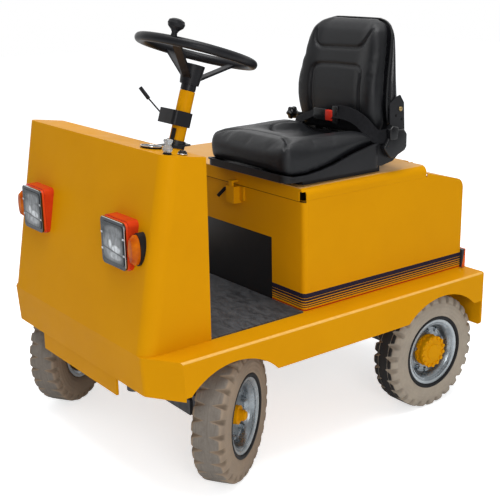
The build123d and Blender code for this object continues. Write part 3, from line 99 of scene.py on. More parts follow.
def stretched(tree, stretch):
    """The object's own coordinates, stretched."""
    return put(tree, "ShaderNodeMapping", {"Vector": object_coords(tree),
                                           "Scale": stretch}).outputs[0]


def noise(tree, scale, detail=3.0, roughness=0.5, stretch=(1, 1, 1), distortion=0.0):
    """A noise value from 0 to 1 over the object's own coordinates."""
    node = put(tree, "ShaderNodeTexNoise", {
        "Vector": stretched(tree, stretch), "Scale": scale, "Detail": detail,
        "Roughness": roughness, "Distortion": distortion})
    return node.outputs["Fac"]


def tree_of(*values):
    """The node tree that the outputs among these values are in."""
    return next(v.id_data for v in values if isinstance(v, bpy.types.NodeSocket))


def spread(value, low, high, to_low=0.0, to_high=1.0):
    """Maps low..high onto to_low..to_high, clamped."""
    node = put(tree_of(value), "ShaderNodeMapRange", {
        "Value": value, "From Min": low, "From Max": high, "To Min": to_low, "To Max": to_high})
    return node.outputs["Result"]


def mix(factor, first, second):
    """Mixes two colours, each a tuple or an output."""
    first, second = [(*c, 1.0) if isinstance(c, tuple) else c for c in (first, second)]
    return put(tree_of(factor), "ShaderNodeMix", {0: factor, 6: first, 7: second},
               data_type="RGBA").outputs[2]


def maths(operation, *values):
    return put(tree_of(*values), "ShaderNodeMath", dict(enumerate(values)),
               operation=operation).outputs[0]


def plus(first, second):
    return maths("ADD", first, second)


def minus(first, second):
    return maths("SUBTRACT", first, second)


def times(first, second):
    return maths("MULTIPLY", first, second)


def larger(first, second):
    return maths("MAXIMUM", first, second)


def waves(value, pitch):
    return maths("SINE", times(value, 2 * math.pi / pitch))


def inverse(mask):
    return minus(1.0, mask)


def where_above(value, limit, width=0.0004):
    """1 where a value passes a limit, with a thin soft edge."""
    return spread(value, limit - width, limit + width)


def place_parts(tree):
    """The object's own X, Y and Z."""
    return put(tree, "ShaderNodeSeparateXYZ", {"Vector": object_coords(tree)}).outputs


def bump(height, distance, strength):
    return put(tree_of(height), "ShaderNodeBump", {
        "Height": height, "Distance": distance, "Strength": strength}).outputs["Normal"]


def darker(colour, share):
    return tuple(c * share for c in colour)


def principled(name, **inputs):
    """A new material and its node tree; inputs by name, with underscores for spaces."""
    material = bpy.data.materials.new(name)
    material.use_nodes = True
    tree = material.node_tree
    shader = tree.nodes["Principled BSDF"]
    for key, value in inputs.items():
        shader.inputs[key.replace("_", " ")].default_value = value
    return material, tree


def wire(material, **outputs):
    """Feeds a material's shader, and returns the material."""
    tree = material.node_tree
    for key, output in outputs.items():
        tree.links.new(output, tree.nodes["Principled BSDF"].inputs[key.replace("_", " ")])
    return material


def colour_of(material):
    """The output that feeds a material's colour."""
    return material.node_tree.nodes["Principled BSDF"].inputs["Base Color"].links[0].from_socket


# Materials

def painted(name, bright, deep, roughness=0.36, shine=0.02):
    """Sprayed enamel: faint mottling, orange peel and patchy gloss."""
    material, tree = principled(name, Specular_IOR_Level=shine)
    patches = spread(noise(tree, 3.0, 4.0, 0.6), 0.35, 0.70)
    peel = bump(noise(tree, 260.0, 2.0), 0.00012, 0.35)
    gloss = spread(noise(tree, 14.0, 5.0, 0.65), 0.3, 0.75, roughness - 0.05, roughness + 0.10)
    return wire(material, Base_Color=mix(patches, bright, deep), Roughness=gloss, Normal=peel)


def yellow(name):
    return painted(name, YELLOW, YELLOW_DEEP)


# On a rim: the radii between which a highlight is painted on its lip, and the pitch of its pressed
# rings
LIP_HIGHLIGHT_FROM, LIP_HIGHLIGHT_TO = 0.116, 0.122
RIM_RING_PITCH = 0.0105


def zinc(corner):
    """Galvanised sheet with its spangle, wiped streaks, a painted highlight on its rolled lip, and
    pressed rings.
    """
    material, tree = principled("zinc_" + corner, Metallic=0.9)
    middle = Vector(JOINTS["spin_" + corner]["pos_m"])
    apart = put(tree, "ShaderNodeVectorMath", {0: object_coords(tree), 1: middle},
                operation="SUBTRACT")
    radius = put(tree, "ShaderNodeVectorMath", {0: apart.outputs[0]},
                 operation="LENGTH").outputs["Value"]
    cells = put(tree, "ShaderNodeTexVoronoi", {"Vector": object_coords(tree), "Scale": 120.0})
    grain = spread(cells.outputs["Color"], 0.0, 1.0)
    dull = spread(noise(tree, 30.0, 5.0, 0.6), 0.35, 0.7)
    # a painted highlight on the rolled lip
    lip = spread(radius, LIP_HIGHLIGHT_FROM, LIP_HIGHLIGHT_TO)
    colour = mix(grain, (0.260, 0.290, 0.312), (0.340, 0.372, 0.395))
    colour = mix(times(dull, 0.45), colour, (0.120, 0.132, 0.145))
    colour = mix(times(lip, 0.60), colour, (0.48, 0.52, 0.54))
    rings = waves(radius, RIM_RING_PITCH)
    height = plus(times(noise(tree, 60.0), 0.6), times(rings, 0.5))
    return wire(material, Base_Color=colour, Roughness=spread(dull, 0.0, 1.0, 0.22, 0.42),
                Normal=bump(height, 0.0007, 0.5))


def plain_metal(name, colour, roughness, metallic=1.0):
    material, tree = principled(name, Metallic=metallic)
    tone = spread(noise(tree, 40.0, 4.0), 0.3, 0.7)
    return wire(material, Base_Color=mix(tone, colour, darker(colour, 0.72)),
                Roughness=spread(tone, 0.0, 1.0, roughness, roughness + 0.12),
                Normal=bump(noise(tree, 500.0), 0.00008, 0.3))


def plastic(name, colour, roughness, shine=0.14):
    material, tree = principled(name, Specular_IOR_Level=shine)
    tone = spread(noise(tree, 25.0, 4.0), 0.35, 0.7)
    return wire(material, Base_Color=mix(tone, colour, darker(colour, 0.8)),
                Roughness=spread(tone, 0.0, 1.0, roughness, roughness + 0.1),
                Normal=bump(noise(tree, 900.0, 1.0), 0.0002, 0.4))


# On a tyre, in metres: the radius and the soft edge where its worn tread starts, the radii and the
# half widths over which painted shade darkens a shoulder groove, and the pitch of the wall's rings
WORN_R, WORN_EDGE = 0.2062, 0.0007
GROOVE_R = (0.190, 0.2045)
GROOVE_X = (0.046, 0.0525)
WALL_RING_PITCH = 0.0125


def tyre_rubber(name, side, tread, edge_x, floor):
    """Pale solid-tyre rubber with a darker worn tread as far as edge_x, scuffs, dust, and painted
    shade in its shoulder grooves.
    """
    material, tree = principled(name, Specular_IOR_Level=0.1)
    x, y, z = place_parts(tree)
    radius = maths("SQRT", plus(maths("POWER", y, 2.0), maths("POWER", z, 2.0)))
    wide = maths("ABSOLUTE", x)
    scuff = spread(noise(tree, 34.0, 6.0, 0.75), 0.32, 0.72)
    bands = spread(noise(tree, 22.0, 5.0, 0.8, (9, 0.6, 0.6)), 0.35, 0.68)
    edge = plus(radius, times(minus(scuff, 0.5), 0.0012))
    worn = times(where_above(edge, WORN_R, WORN_EDGE), inverse(where_above(wide, edge_x, 0.0022)))
    dirt = spread(noise(tree, 15.0, 7.0, 0.7), 0.40, 0.75)
    colour = mix(times(dirt, 0.40), side, BEIGE_DIRTY)
    colour = mix(worn, colour, mix(larger(scuff, bands), tread, darker(tread, 0.62)))
    # painted shade in the shoulder grooves, as strong as floor
    groove_shade = times(spread(radius, *GROOVE_R, 1.0, 0.0), spread(wide, *GROOVE_X, 1.0, 0.0))
    colour = mix(times(groove_shade, floor), colour, darker(side, 0.35))
    ring = waves(radius, WALL_RING_PITCH)
    lumps = plus(times(ring, 0.35), times(noise(tree, 40.0, 3.0), 1.5))
    height = plus(noise(tree, 220.0, 5.0, 0.75), lumps)
    return wire(material, Base_Color=colour, Roughness=spread(dirt, 0, 1, 0.62, 0.88),
                Normal=bump(height, 0.0011, 0.7))


# Stripes round the battery box, in millimetres above their foot: the top of the red one, and
# the lowest and highest height of each navy one
RED_TOP = 4.2
NAVY_STRIPES = ((10.0, 13.0), (16.8, 20.6), (24.0, 29.6), (32.1, 39.9), (41.3, 57.0))
STRIPE_TOP = NAVY_STRIPES[-1][1]
STRIPE_FOOT = 0.4785
STRIPES_FRONT, STRIPES_REAR = 0.0575, 0.0545     # height of them all at the box's front and rear
STRIPE_SIDE = 0.4362          # only what lies outside this, or in front, is striped
STRIPE_TURN = 0.0180          # how far the box's rounded corners lie inside its sharp ones
LIP_LINE = (0.8318, 0.8380)   # painted shadow line along the lid's lip, in front
LINE_EDGE = 0.0006
LIP_SHADOW_BROWN = (0.050, 0.022, 0.004)


def striped(name):
    """The enamel with the stripes that narrow towards the rear, and a painted shadow line along the
    lid's lip in front.
    """
    material = yellow(name)
    tree, paint = material.node_tree, colour_of(material)
    x, y, z = place_parts(tree)
    (_, y0, _), (x1, y1, _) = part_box("battery_box")
    high = spread(y, y0, y1, STRIPES_FRONT, STRIPES_REAR)
    share = maths("DIVIDE", minus(z, STRIPE_FOOT), high)
    ramp = put(tree, "ShaderNodeValToRGB", {"Fac": share})
    ramp.color_ramp.interpolation = "CONSTANT"
    stops = ramp.color_ramp.elements
    for stop in stops:
        stop.color = (0, 0, 0, 1)
    for low, top in NAVY_STRIPES:
        stops.new(low / STRIPE_TOP).color = (1, 1, 1, 1)
        if top < STRIPE_TOP:
            stops.new(top / STRIPE_TOP).color = (0, 0, 0, 1)
    red = times(where_above(z, STRIPE_FOOT, 0.0002),
                inverse(where_above(share, RED_TOP / STRIPE_TOP, 0.001)))
    side = maths("ABSOLUTE", x)
    outside = larger(where_above(side, STRIPE_SIDE), inverse(where_above(y, y0 + 0.003, 0.001)))
    turn = where_above(minus(side, y), x1 - y0 - STRIPE_TURN)
    shown = times(larger(outside, turn),
                  spread(noise(tree, 60.0, 4.0, 0.7), 0.0, 1.0, 0.97, 1.0))
    colour = mix(times(ramp.outputs["Color"], shown), paint, NAVY)
    colour = mix(times(red, shown), colour, RED)
    # a painted shadow line along the lid's lip, on the box's front
    low, top = LIP_LINE
    line = times(where_above(z, low, LINE_EDGE), inverse(where_above(z, top, LINE_EDGE)))
    front = inverse(where_above(y, y0 + 0.010, 0.001))
    return wire(material, Base_Color=mix(times(line, front), colour, LIP_SHADOW_BROWN))


def two_tone(material, second, mask_at):
    """Paints part of a material in a second colour, where mask_at(tree) is 1."""
    tree = material.node_tree
    return wire(material, Base_Color=mix(mask_at(tree), colour_of(material), second))


def vinyl():
    """Soft black seat vinyl with a fine leather grain."""
    material, tree = principled("vinyl", Specular_IOR_Level=0.32)
    pores = put(tree, "ShaderNodeTexVoronoi", {"Vector": object_coords(tree), "Scale": 520.0},
                feature="DISTANCE_TO_EDGE")
    worn = spread(noise(tree, 9.0, 4.0), 0.35, 0.7)
    grain = bump(spread(pores.outputs["Distance"], 0.0, 0.25), 0.0004, 0.35)
    colour = mix(worn, (0.0050, 0.0054, 0.0066), (0.0095, 0.0100, 0.0118))
    return wire(material, Base_Color=colour, Roughness=spread(worn, 0, 1, 0.34, 0.46),
                Normal=grain)


def mat_rubber():
    """Dusty marbled rubber on the floor."""
    material, tree = principled("mat_rubber")
    dust = spread(noise(tree, 30.0, 8.0, 0.8, (0.6, 1.3, 1), 1.2), 0.40, 0.66)
    colour = mix(dust, (0.016, 0.017, 0.020), (0.085, 0.088, 0.094))
    return wire(material, Base_Color=colour, Roughness=spread(dust, 0, 1, 0.55, 0.85),
                Normal=bump(noise(tree, 220.0, 3.0, 0.7), 0.0008, 0.7))


# A headlight's lens from its middle, in metres: half its size, ellipses of painted reflection as
# middle, radii and strength, the slanting line where the painted reflection dims, and its flutes'
# and bars' pitches
LENS_HALF = 0.059
LENS_PAINTED_GLINTS = ((0.000, -0.014, 0.066, 0.054, 0.34), (-0.014, -0.004, 0.011, 0.016, 1.0),
              (0.018, -0.015, 0.030, 0.014, 1.0), (0.012, 0.036, 0.056, 0.018, 0.26),
              (0.012, -0.036, 0.040, 0.014, 0.62))
LINE_DROP, LINE_SLANT = 0.0235, 0.12
FLUTE_PITCH, BAR_PITCH = 0.0052, 0.021


def aside(x, middle):
    """X from a lamp's own middle, for the lamps at x = middle and x = -middle."""
    return minus(x, times(maths("SIGN", x), middle))


def headlight_glass():
    """Moulded headlight lens: flutes, with painted reflections of the reflector behind it: a dark
    bowl and bright patches, brightest low in its middle.
    """
    material, tree = principled("headlight_glass", Specular_IOR_Level=0.12,
                                Coat_Weight=0.12, Coat_Roughness=0.04)
    low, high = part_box("headlight_lenses")
    x, _, z = place_parts(tree)
    u = aside(x, high.x - LENS_HALF)
    v = minus(z, (low.z + high.z) / 2)
    wander = times(minus(noise(tree, 26.0, 2.0), 0.5), 0.05)

    def squared(value, middle, radius):
        return maths("POWER", maths("DIVIDE", minus(value, middle), radius), 2.0)

    # painted reflections: bright patches, dimmed along the slanting line and towards the rim
    light = 0.0
    for cu, cv, ru, rv, strength in LENS_PAINTED_GLINTS:
        reach = plus(squared(u, cu, ru), squared(v, cv, rv))
        patch = spread(plus(reach, wander), 0.35, 1.1, 1.0, 0.0)
        light = larger(light, times(patch, strength))
    slant = maths("ABSOLUTE", plus(plus(v, LINE_DROP), times(u, LINE_SLANT)))
    light = times(light, spread(slant, 0.0012, 0.0030, 0.25, 1.0))
    rim = larger(maths("ABSOLUTE", u), maths("ABSOLUTE", v))
    light = times(light, spread(rim, 0.0515, 0.0565, 1.0, 0.15))
    grain = spread(noise(tree, 62.0, 5.0, 0.7, (1.6, 1, 0.6)), 0.30, 0.70, 0.35, 1.25)
    colour = mix(times(light, grain), (0.050, 0.055, 0.058), (0.86, 0.89, 0.92))
    height = plus(waves(u, FLUTE_PITCH), times(waves(v, BAR_PITCH), 1.5))
    return wire(material, Base_Color=colour, Roughness=spread(grain, 0.35, 1.25, 0.10, 0.22),
                Normal=bump(height, 0.0006, 0.35))


FRAME_EDGE = 0.0016           # width of the painted highlight along a headlight frame's edge
FRAME_DEPTH = 0.0060          # how far back its metal reaches


def lamp_frame():
    """The lens's thin frame: dark chrome with a painted highlight along its top and outer edge."""
    low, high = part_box("headlight_frames")
    half = (high.z - low.z) / 2

    def painted_edge_glint(tree):
        x, y, z = place_parts(tree)
        edge = larger(where_above(aside(x, high.x - half), half - FRAME_EDGE),
                      where_above(z, high.z - FRAME_EDGE))
        return times(edge, inverse(where_above(y, low.y + FRAME_EDGE)))

    def behind(tree):
        return where_above(place_parts(tree)[1], low.y + FRAME_DEPTH)

    metal = plain_metal("frame_chrome", (0.085, 0.092, 0.102), 0.16)
    # a painted highlight on the frame's edges, and the housing's red behind its metal
    metal = two_tone(two_tone(metal, (0.80, 0.82, 0.84), painted_edge_glint), LAMP_RED, behind)
    tree = metal.node_tree
    return wire(metal, Metallic=inverse(behind(tree)))


def lamp_plastic(name, colour, glow, clear):
    """Coloured lamp plastic with prisms moulded inside."""
    material, tree = principled(name, Transmission_Weight=clear, IOR=1.49,
                                Specular_IOR_Level=0.12)
    prisms = put(tree, "ShaderNodeTexWave", {"Vector": stretched(tree, (0.4, 0.4, 1)),
                                             "Scale": 60.0}, bands_direction="Z")
    patches = spread(noise(tree, 30.0, 3.0), 0.35, 0.70)
    return wire(material, Base_Color=mix(patches, colour, glow),
                Roughness=spread(patches, 0, 1, 0.12, 0.24),
                Normal=bump(prisms.outputs["Fac"], 0.0006, 0.35))


def clear_plastic():
    material, tree = principled("clear_plastic", Transmission_Weight=0.55, IOR=1.20)
    haze = spread(noise(tree, 60.0, 3.0), 0.3, 0.7)
    return wire(material, Base_Color=mix(haze, (0.62, 0.64, 0.66), (0.40, 0.42, 0.43)),
                Roughness=spread(haze, 0, 1, 0.05, 0.14))


def webbing():
    """Black seat-belt webbing: fine ribs along its length."""
    material, tree = principled("webbing", Specular_IOR_Level=0.06)
    weave = put(tree, "ShaderNodeTexWave", {"Vector": object_coords(tree), "Scale": 420.0},
                bands_direction="Z")
    fuzz = spread(noise(tree, 120.0, 4.0), 0.3, 0.7)
    return wire(material, Base_Color=mix(fuzz, (0.009, 0.009, 0.010), (0.015, 0.015, 0.017)),
                Roughness=spread(fuzz, 0, 1, 0.55, 0.72),
                Normal=bump(weave.outputs["Fac"], 0.0003, 0.5))


# Meshes

def smooth(value, low, high):
    """0 below low, 1 above high and an S between."""
    t = min(max((value - low) / (high - low), 0.0), 1.0)
    return t * t * (3 - 2 * t)


def curve_at(table, value):
    """Reads a table of (position, value...) rows at a position, with straight runs between."""
    for low, high in zip(table, table[1:]):
        if value <= high[0] or high is table[-1]:
            t = min(max((value - low[0]) / (high[0] - low[0]), 0.0), 1.0)
            found = [a + (b - a) * t for a, b in zip(low[1:], high[1:])]
            return found if len(found) > 1 else found[0]


def levels(rows, count):
    """Evenly spaced heights up a table of rows, each with what the table says there."""
    for k in range(count):
        z = rows[0][0] + (rows[-1][0] - rows[0][0]) * k / (count - 1)
        yield z, *curve_at(rows, z)


def as_object(name, points, faces):
    mesh = bpy.data.meshes.new(name)
    mesh.from_pydata(points, [], faces)
    obj = bpy.data.objects.new(name, mesh)
    bpy.context.scene.collection.objects.link(obj)
    return obj


def finish_piece(obj, material, body, flat=False):
    """Gives a mesh its material and lets it ride on a body."""
    obj.data.materials.append(material)
    if not flat:
        obj.data.shade_smooth()
    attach(obj, body)
    return obj


def add_piece(name, points, faces, material, body, slot, flat=False, matrix=None):
    obj = as_object(name, points, faces)
    if matrix is not None:
        obj.matrix_world = matrix
    return finish_piece(obj, material, body, flat)


def skin(rings, wrap=False):
    """Points and faces over a stack of rings with equal counts, closed or wrapped at its ends."""
    n, count = len(rings[0]), len(rings)
    points = [p for ring in rings for p in ring]
    faces = []
    for i in range(count if wrap else count - 1):
        a, b = i * n, ((i + 1) % count) * n
        for j in range(n):
            k = (j + 1) % n
            faces.append((a + j, a + k, b + k, b + j))
    if not wrap:
        faces.append(tuple(reversed(range(n))))
        faces.append(tuple(range((count - 1) * n, count * n)))
    return points, faces


def lathe(profile, steps, closed=False):
    """Turns a profile of (along, radius) in millimetres round the X axis: points and faces."""
    around = [(math.cos(2 * math.pi * k / steps), math.sin(2 * math.pi * k / steps))
              for k in range(steps)]
    rings = [[Vector((along, radius * c, radius * s)) / 1000 for c, s in around]
             for along, radius in profile]
    return skin(rings, closed)


def modified(obj, kind, **settings):
    modifier = obj.modifiers.new(kind.lower(), kind)
    for key, value in settings.items():
        setattr(modifier, key, value)
    return modifier


def bevelled(obj, width, segments):
    modified(obj, "BEVEL", width=width, segments=segments, limit_method="ANGLE")


def along_x(place, axis):
    """A matrix whose X points along an axis, at a place."""
    turn = Vector((1, 0, 0)).rotation_difference(Vector(axis))
    return Matrix.Translation(place) @ turn.to_matrix().to_4x4()


# Wheels

TYRE_R = 207.5
LUGS = 28
# x and radius down half the tyre's section, in millimetres, from the bead to its middle
TYRE_HALF = ((42, 102.4), (42, 119.5), (47.4, 121.5), (49.4, 126), (50.6, 132), (51.6, 133.4),
             (53.2, 135.6), (54.6, 143), (55.5, 152), (55.9, 160), (55.9, 166), (55.0, 172),
             (54.0, 177.5), (52.9, 179.5), (52.6, 186), (51.2, 193), (49.2, 198.5), (46.4, 202.8),
             (42.5, 205.8), (38, 207.1), (33, TYRE_R), (27, TYRE_R), (23.6, TYRE_R))
TREAD_LINE = ((22.6, 205.0), (21.0, 205.0), (20.0, TYRE_R))
TREAD_MIDDLE = tuple((x, TYRE_R) for x in (16, 11, 5, 0))
# x, and a shoulder groove's half width and depth there
FRONT_GROOVES = ((7, 0.3, 0), (14, 1.5, 2.6), (24, 3.0, 7), (36, 4.8, 13), (45, 7.6, 20),
                 (56, 9.6, 30))
REAR_GROOVES = ((12, 0.4, 0), (16, 1.6, 2.5), (21, 3.0, 6), (27, 4.4, 9), (36, 6.2, 14),
                (46, 8.4, 21), (56, 9.8, 30))
BEAD_RING = ((43.0, 119.8), (48.8, 120.3), (51.4, 122.6), (52.8, 126), (53.2, 129),
             (52.6, 132), (50.6, 133.8), (46.0, 133.4))


def tyre_rings(grooves, half):
    """The tyre's rings of points round its axis, X outboard, from half its section."""
    pitch = 2 * math.pi / LUGS
    rings = []
    for x, r in [*half, *((-x, r) for x, r in reversed(half[:-1]))]:
        w, depth = curve_at(grooves, abs(x))
        floor = TYRE_R - depth
        drop = r - floor if abs(x) > grooves[0][0] and r > floor + 0.3 else 0.0
        # angles from the groove's middle, and the share of its depth there
        top, low = (w + 1.7) / TYRE_R, max(w - 1.4, 0.2) / TYRE_R
        side = ((0.36 * pitch, 0), (top + 0.010, 0.03), (top, 0.16), (low, 0.93), (low * 0.4, 1))
        across = [(-0.5 * pitch, 0), *((-a, sunk) for a, sunk in side), *reversed(side)]
        ring = []
        for k in range(LUGS):
            for offset, sunk in across:
                a, radius = (k + 0.5) * pitch + offset, r - drop * sunk
                ring.append(Vector((x, radius * math.cos(a), radius * math.sin(a))) / 1000)
        rings.append(ring)
    return rings


def wheel_matrix(corner):
    """The wheel's own frame: X outboard, Z up, at the tyre's middle."""
    joint = JOINTS["spin_" + corner]
    side = 1 if corner.endswith("left") else -1
    out = Vector(joint["axis"]).normalized() * side
    up = Vector((0, 0, 1))
    turn = Matrix((out, up.cross(out), up)).transposed()
    return Matrix.Translation(joint["pos_m"]) @ turn.to_4x4()


def add_wheels():
    treads = {"front": skin(tyre_rings(FRONT_GROOVES, TYRE_HALF + TREAD_MIDDLE), True),
              "rear": skin(tyre_rings(REAR_GROOVES, TYRE_HALF + TREAD_LINE + TREAD_MIDDLE), True)}
    ring = lathe(BEAD_RING, 96, closed=True)
    black = plastic("bead_rubber", (0.012, 0.012, 0.013), 0.45)
    sides = {"front": tyre_rubber("tyre_front", BEIGE_WARM, (0.235, 0.205, 0.175), 0.048, 0.55),
             "rear": tyre_rubber("tyre_rear", BEIGE, (0.042, 0.041, 0.041), 0.040, 0.25)}
    for corner in CORNERS:
        body = "wheel_" + corner
        matrix = wheel_matrix(corner)
        axle = corner.split("_")[0]
        tyre = add_piece("tread_" + corner, *treads[axle], sides[axle], body, "tyre_rubber",
                         matrix=matrix)
        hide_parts("tyre_" + corner)
        add_piece("bead_ring_" + corner, *ring, black, body, "black_plastic", matrix=matrix)


# Seat

SEAT_X = 205
# the cushion from above: half its width, its front and rear y, and its corners' radius
CUSHION_W, CUSHION_FRONT, CUSHION_REAR, CUSHION_TURN = 206, 287, 683, 30
SIDE_STEPS = 12               # along a side of it
# y and height along its lower edge
CUSHION_BASE = ((280, 921), (315, 914), (364, 914), (419, 921), (474, 932), (559, 957),
                (640, 974), (690, 978))
# y, and the height of its top at the sides and along the middle
CUSHION_TOP = ((290, 1000, 1002), (312, 1008, 1012), (340, 1011, 1017), (380, 1013, 1016),
               (430, 1014, 1008), (480, 1015, 994), (540, 1016, 988), (600, 1015, 985),
               (632, 1009, 983), (655, 1000, 980), (684, 975, 972))
# how far in and what share of the way up the rings over it lie
CUSHION_RINGS = ((1.5, 0.22), (0, 0.5), (0.5, 0.62), (3, 0.78), (8, 0.90), (16, 0.965),
                 (27, 0.993), (44, 1.0), (75, 1.0), (110, 1.0), (150, 1.0), (185, 1.0))
# x and y of the seams over its top
FRONT_SEAM = ((18, 298), (30, 318), (52, 340), (90, 358), (140, 368), (205, 371), (270, 368),
              (320, 358), (358, 340), (380, 318), (392, 298))
TROUGH_SEAM = ((78, 650), (70, 600), (66, 550), (76, 505), (104, 474), (150, 463), (205, 461),
               (260, 463), (306, 474), (334, 505), (344, 550), (340, 600), (332, 650))
# height, half width, front and rear of the backrest's cushion, then x and height of its seams
BACK_ROWS = ((990, 182, 682, 706), (1033, 191, 666, 725), (1066, 195, 659, 719),
             (1100, 197, 655, 713), (1140, 197, 655, 714), (1175, 194, 659, 718),
             (1220, 189, 668, 727), (1260, 183, 679, 738), (1300, 175, 690, 750),
             (1330, 166, 700, 760), (1350, 150, 714, 768), (1360, 132, 727, 771),
             (1366, 108, 741, 772))
LUMBAR_SEAM = ((87, 990), (87, 1100), (87, 1180), (91, 1198), (102, 1209), (120, 1214),
               (205, 1217), (300, 1217), (318, 1212), (329, 1201), (333, 1182), (333, 1100),
               (333, 990))
HEAD_SEAM = ((70, 1352), (74, 1320), (79, 1294), (88, 1279), (106, 1270), (205, 1273),
             (290, 1275), (308, 1283), (322, 1300), (344, 1334), (356, 1352))
HOLLOW = 8                    # how far the backrest's middle lies in, from DISH_FROM aside
DISH_FROM, DISH_TO = 95, 150
TURN_STEPS = 7                # round a corner of either cushion
SEAM_W = 5.5                  # a seam's half width
# depth of a seam, and how much deeper its tucks are
FRONT_DEPTH, TROUGH_DEPTH, BACK_DEPTH = (5.0, 7.0), (4.5, 4.5), 8.0
PAD_GRAIN = 0.0052            # size of the remeshed pads' faces, in metres
FILL_STEPS = 14               # of the cloth


def seam_distance(x, y, seam):
    """Distance from a point to a seam, and how far along it the nearest place is, 0 to 1."""
    best, where, run = 1e9, 0.0, 0.0
    lengths = [math.dist(a, b) for a, b in zip(seam, seam[1:])]
    for (a, b), length in zip(zip(seam, seam[1:]), lengths):
        t = ((x - a[0]) * (b[0] - a[0]) + (y - a[1]) * (b[1] - a[1])) / length ** 2
        t = min(max(t, 0.0), 1.0)
        d = math.hypot(x - a[0] - t * (b[0] - a[0]), y - a[1] - t * (b[1] - a[1]))
        if d < best:
            best, where = d, (run + t * length) / sum(lengths)
        run += length
    return best, where


def bake(obj):
    """Replaces an object's mesh by what its modifiers make of it."""
    graph = bpy.context.evaluated_depsgraph_get()
    mesh = bpy.data.meshes.new_from_object(obj.evaluated_get(graph))
    obj.modifiers.clear()
    obj.data = mesh


def padded_form(name, points, faces, cap, rounds):
    """Remeshes a closed form and fills it a little, by cap at most, then evens it out."""
    obj = as_object(name, points, faces)
    modified(obj, "REMESH", mode="VOXEL", voxel_size=PAD_GRAIN, use_smooth_shade=True)
    bake(obj)
    fill(obj, cap)
    return relaxed(obj, rounds)


def fill(obj, cap):
    """Blows a form up as cloth, as foam does under a tight cover."""
    rest = [v.co.copy() for v in obj.data.vertices]
    settings = modified(obj, "CLOTH").settings
    settings.quality = 4
    settings.use_pressure = True
    settings.uniform_pressure_force = 3.0
    settings.tension_stiffness = 12
    settings.bending_stiffness = 2
    settings.effector_weights.gravity = 0
    scene = bpy.context.scene
    for step in range(FILL_STEPS):
        scene.frame_set(step + 1)
    bake(obj)
    scene.frame_set(1)
    for vertex, start in zip(obj.data.vertices, rest):
        move = vertex.co - start
        if move.length > cap:
            vertex.co = start + move.normalized() * cap


FACING = 0.35                 # a form is sunk where its normal's share of the way out passes this


def sculpt(obj, depth_at, direction):
    """Sinks the side of a form that faces away from direction by depth_at(place in mm)."""
    mesh = obj.data
    moves = []
    for vertex in mesh.vertices:
        turned = -vertex.normal.dot(direction)
        x, y, z = vertex.co
        place = (x * 1000, (y - AXLE_Y) * 1000, z * 1000)
        share = smooth(turned, FACING, FACING + 0.3) / 1000
        moves.append(depth_at(*place) * share if share else 0.0)
    for vertex, move in zip(mesh.vertices, moves):
        vertex.co = vertex.co + direction * move


def relaxed(obj, rounds):
    """Evens a mesh out."""
    modified(obj, "SMOOTH", factor=0.5, iterations=rounds)
    bake(obj)
    return obj


def upholster(obj, material, node):
    """Gives a padded piece its cover, its smooth surface and its place on the lid."""
    modified(obj, "SUBSURF", levels=1, render_levels=1)
    bake(obj)
    finish_piece(obj, material, "lid")
    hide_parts(node)


def cushion_outline(inset):
    """Rounded outline of the cushion from above, inset, as x and y round it."""
    w, front, rear = CUSHION_W - inset, CUSHION_FRONT + inset, CUSHION_REAR - inset
    r = max(CUSHION_TURN - inset, 5)
    points = []
    for cx, cy, start in ((w - r, front + r, -90), (w - r, rear - r, 0), (-w + r, rear - r, 90),
                          (-w + r, front + r, 180)):
        for k in range(TURN_STEPS + 1):
            a = math.radians(start + 90 * k / TURN_STEPS)
            points.append((SEAT_X + cx + r * math.cos(a), cy + r * math.sin(a)))
    outline = []
    for k, (a, b) in enumerate(zip(points, points[1:] + points[:1])):
        steps = 1 if (k + 1) % (TURN_STEPS + 1) else SIDE_STEPS
        outline += [(a[0] + (b[0] - a[0]) * t / steps, a[1] + (b[1] - a[1]) * t / steps)
                    for t in range(steps)]
    return outline


def cushion_height(x, y):
    side, middle = curve_at(CUSHION_TOP, y)
    return side + (middle - side) * (1 - smooth(abs(x - SEAT_X), 84, 138))


def add_cushion(material):
    rings = [[at(x, y, curve_at(CUSHION_BASE, y) - 2) for x, y in cushion_outline(5)]]
    for inset, share in CUSHION_RINGS:
        ring = []
        for x, y in cushion_outline(inset):
            low, high = curve_at(CUSHION_BASE, y), cushion_height(x, y)
            ring.append(at(x, y, low + (high - low) * share))
        rings.append(ring)
    obj = padded_form("seat_pad", *skin(rings), cap=0.004, rounds=7)

    def depth(x, y, z):
        near, run = seam_distance(x, y, FRONT_SEAM)
        ends = abs(run - 0.5) * 2
        dimple = smooth(ends, 0.45, 0.72) * (1 - smooth(ends, 0.90, 1.0))
        sunk = FRONT_DEPTH[0] + FRONT_DEPTH[1] * dimple
        sunk *= math.exp(-(near / (SEAM_W + 3.0 * dimple)) ** 2)
        near, run = seam_distance(x, y, TROUGH_SEAM)
        tuck = 1 - smooth(abs(abs(run - 0.5) - 0.17), 0.0, 0.10)
        trough = TROUGH_DEPTH[0] + TROUGH_DEPTH[1] * tuck
        return sunk + trough * math.exp(-(near / SEAM_W) ** 2)

    sculpt(obj, depth, Vector((0, 0, -1)))
    upholster(obj, material, "seat_cushion")


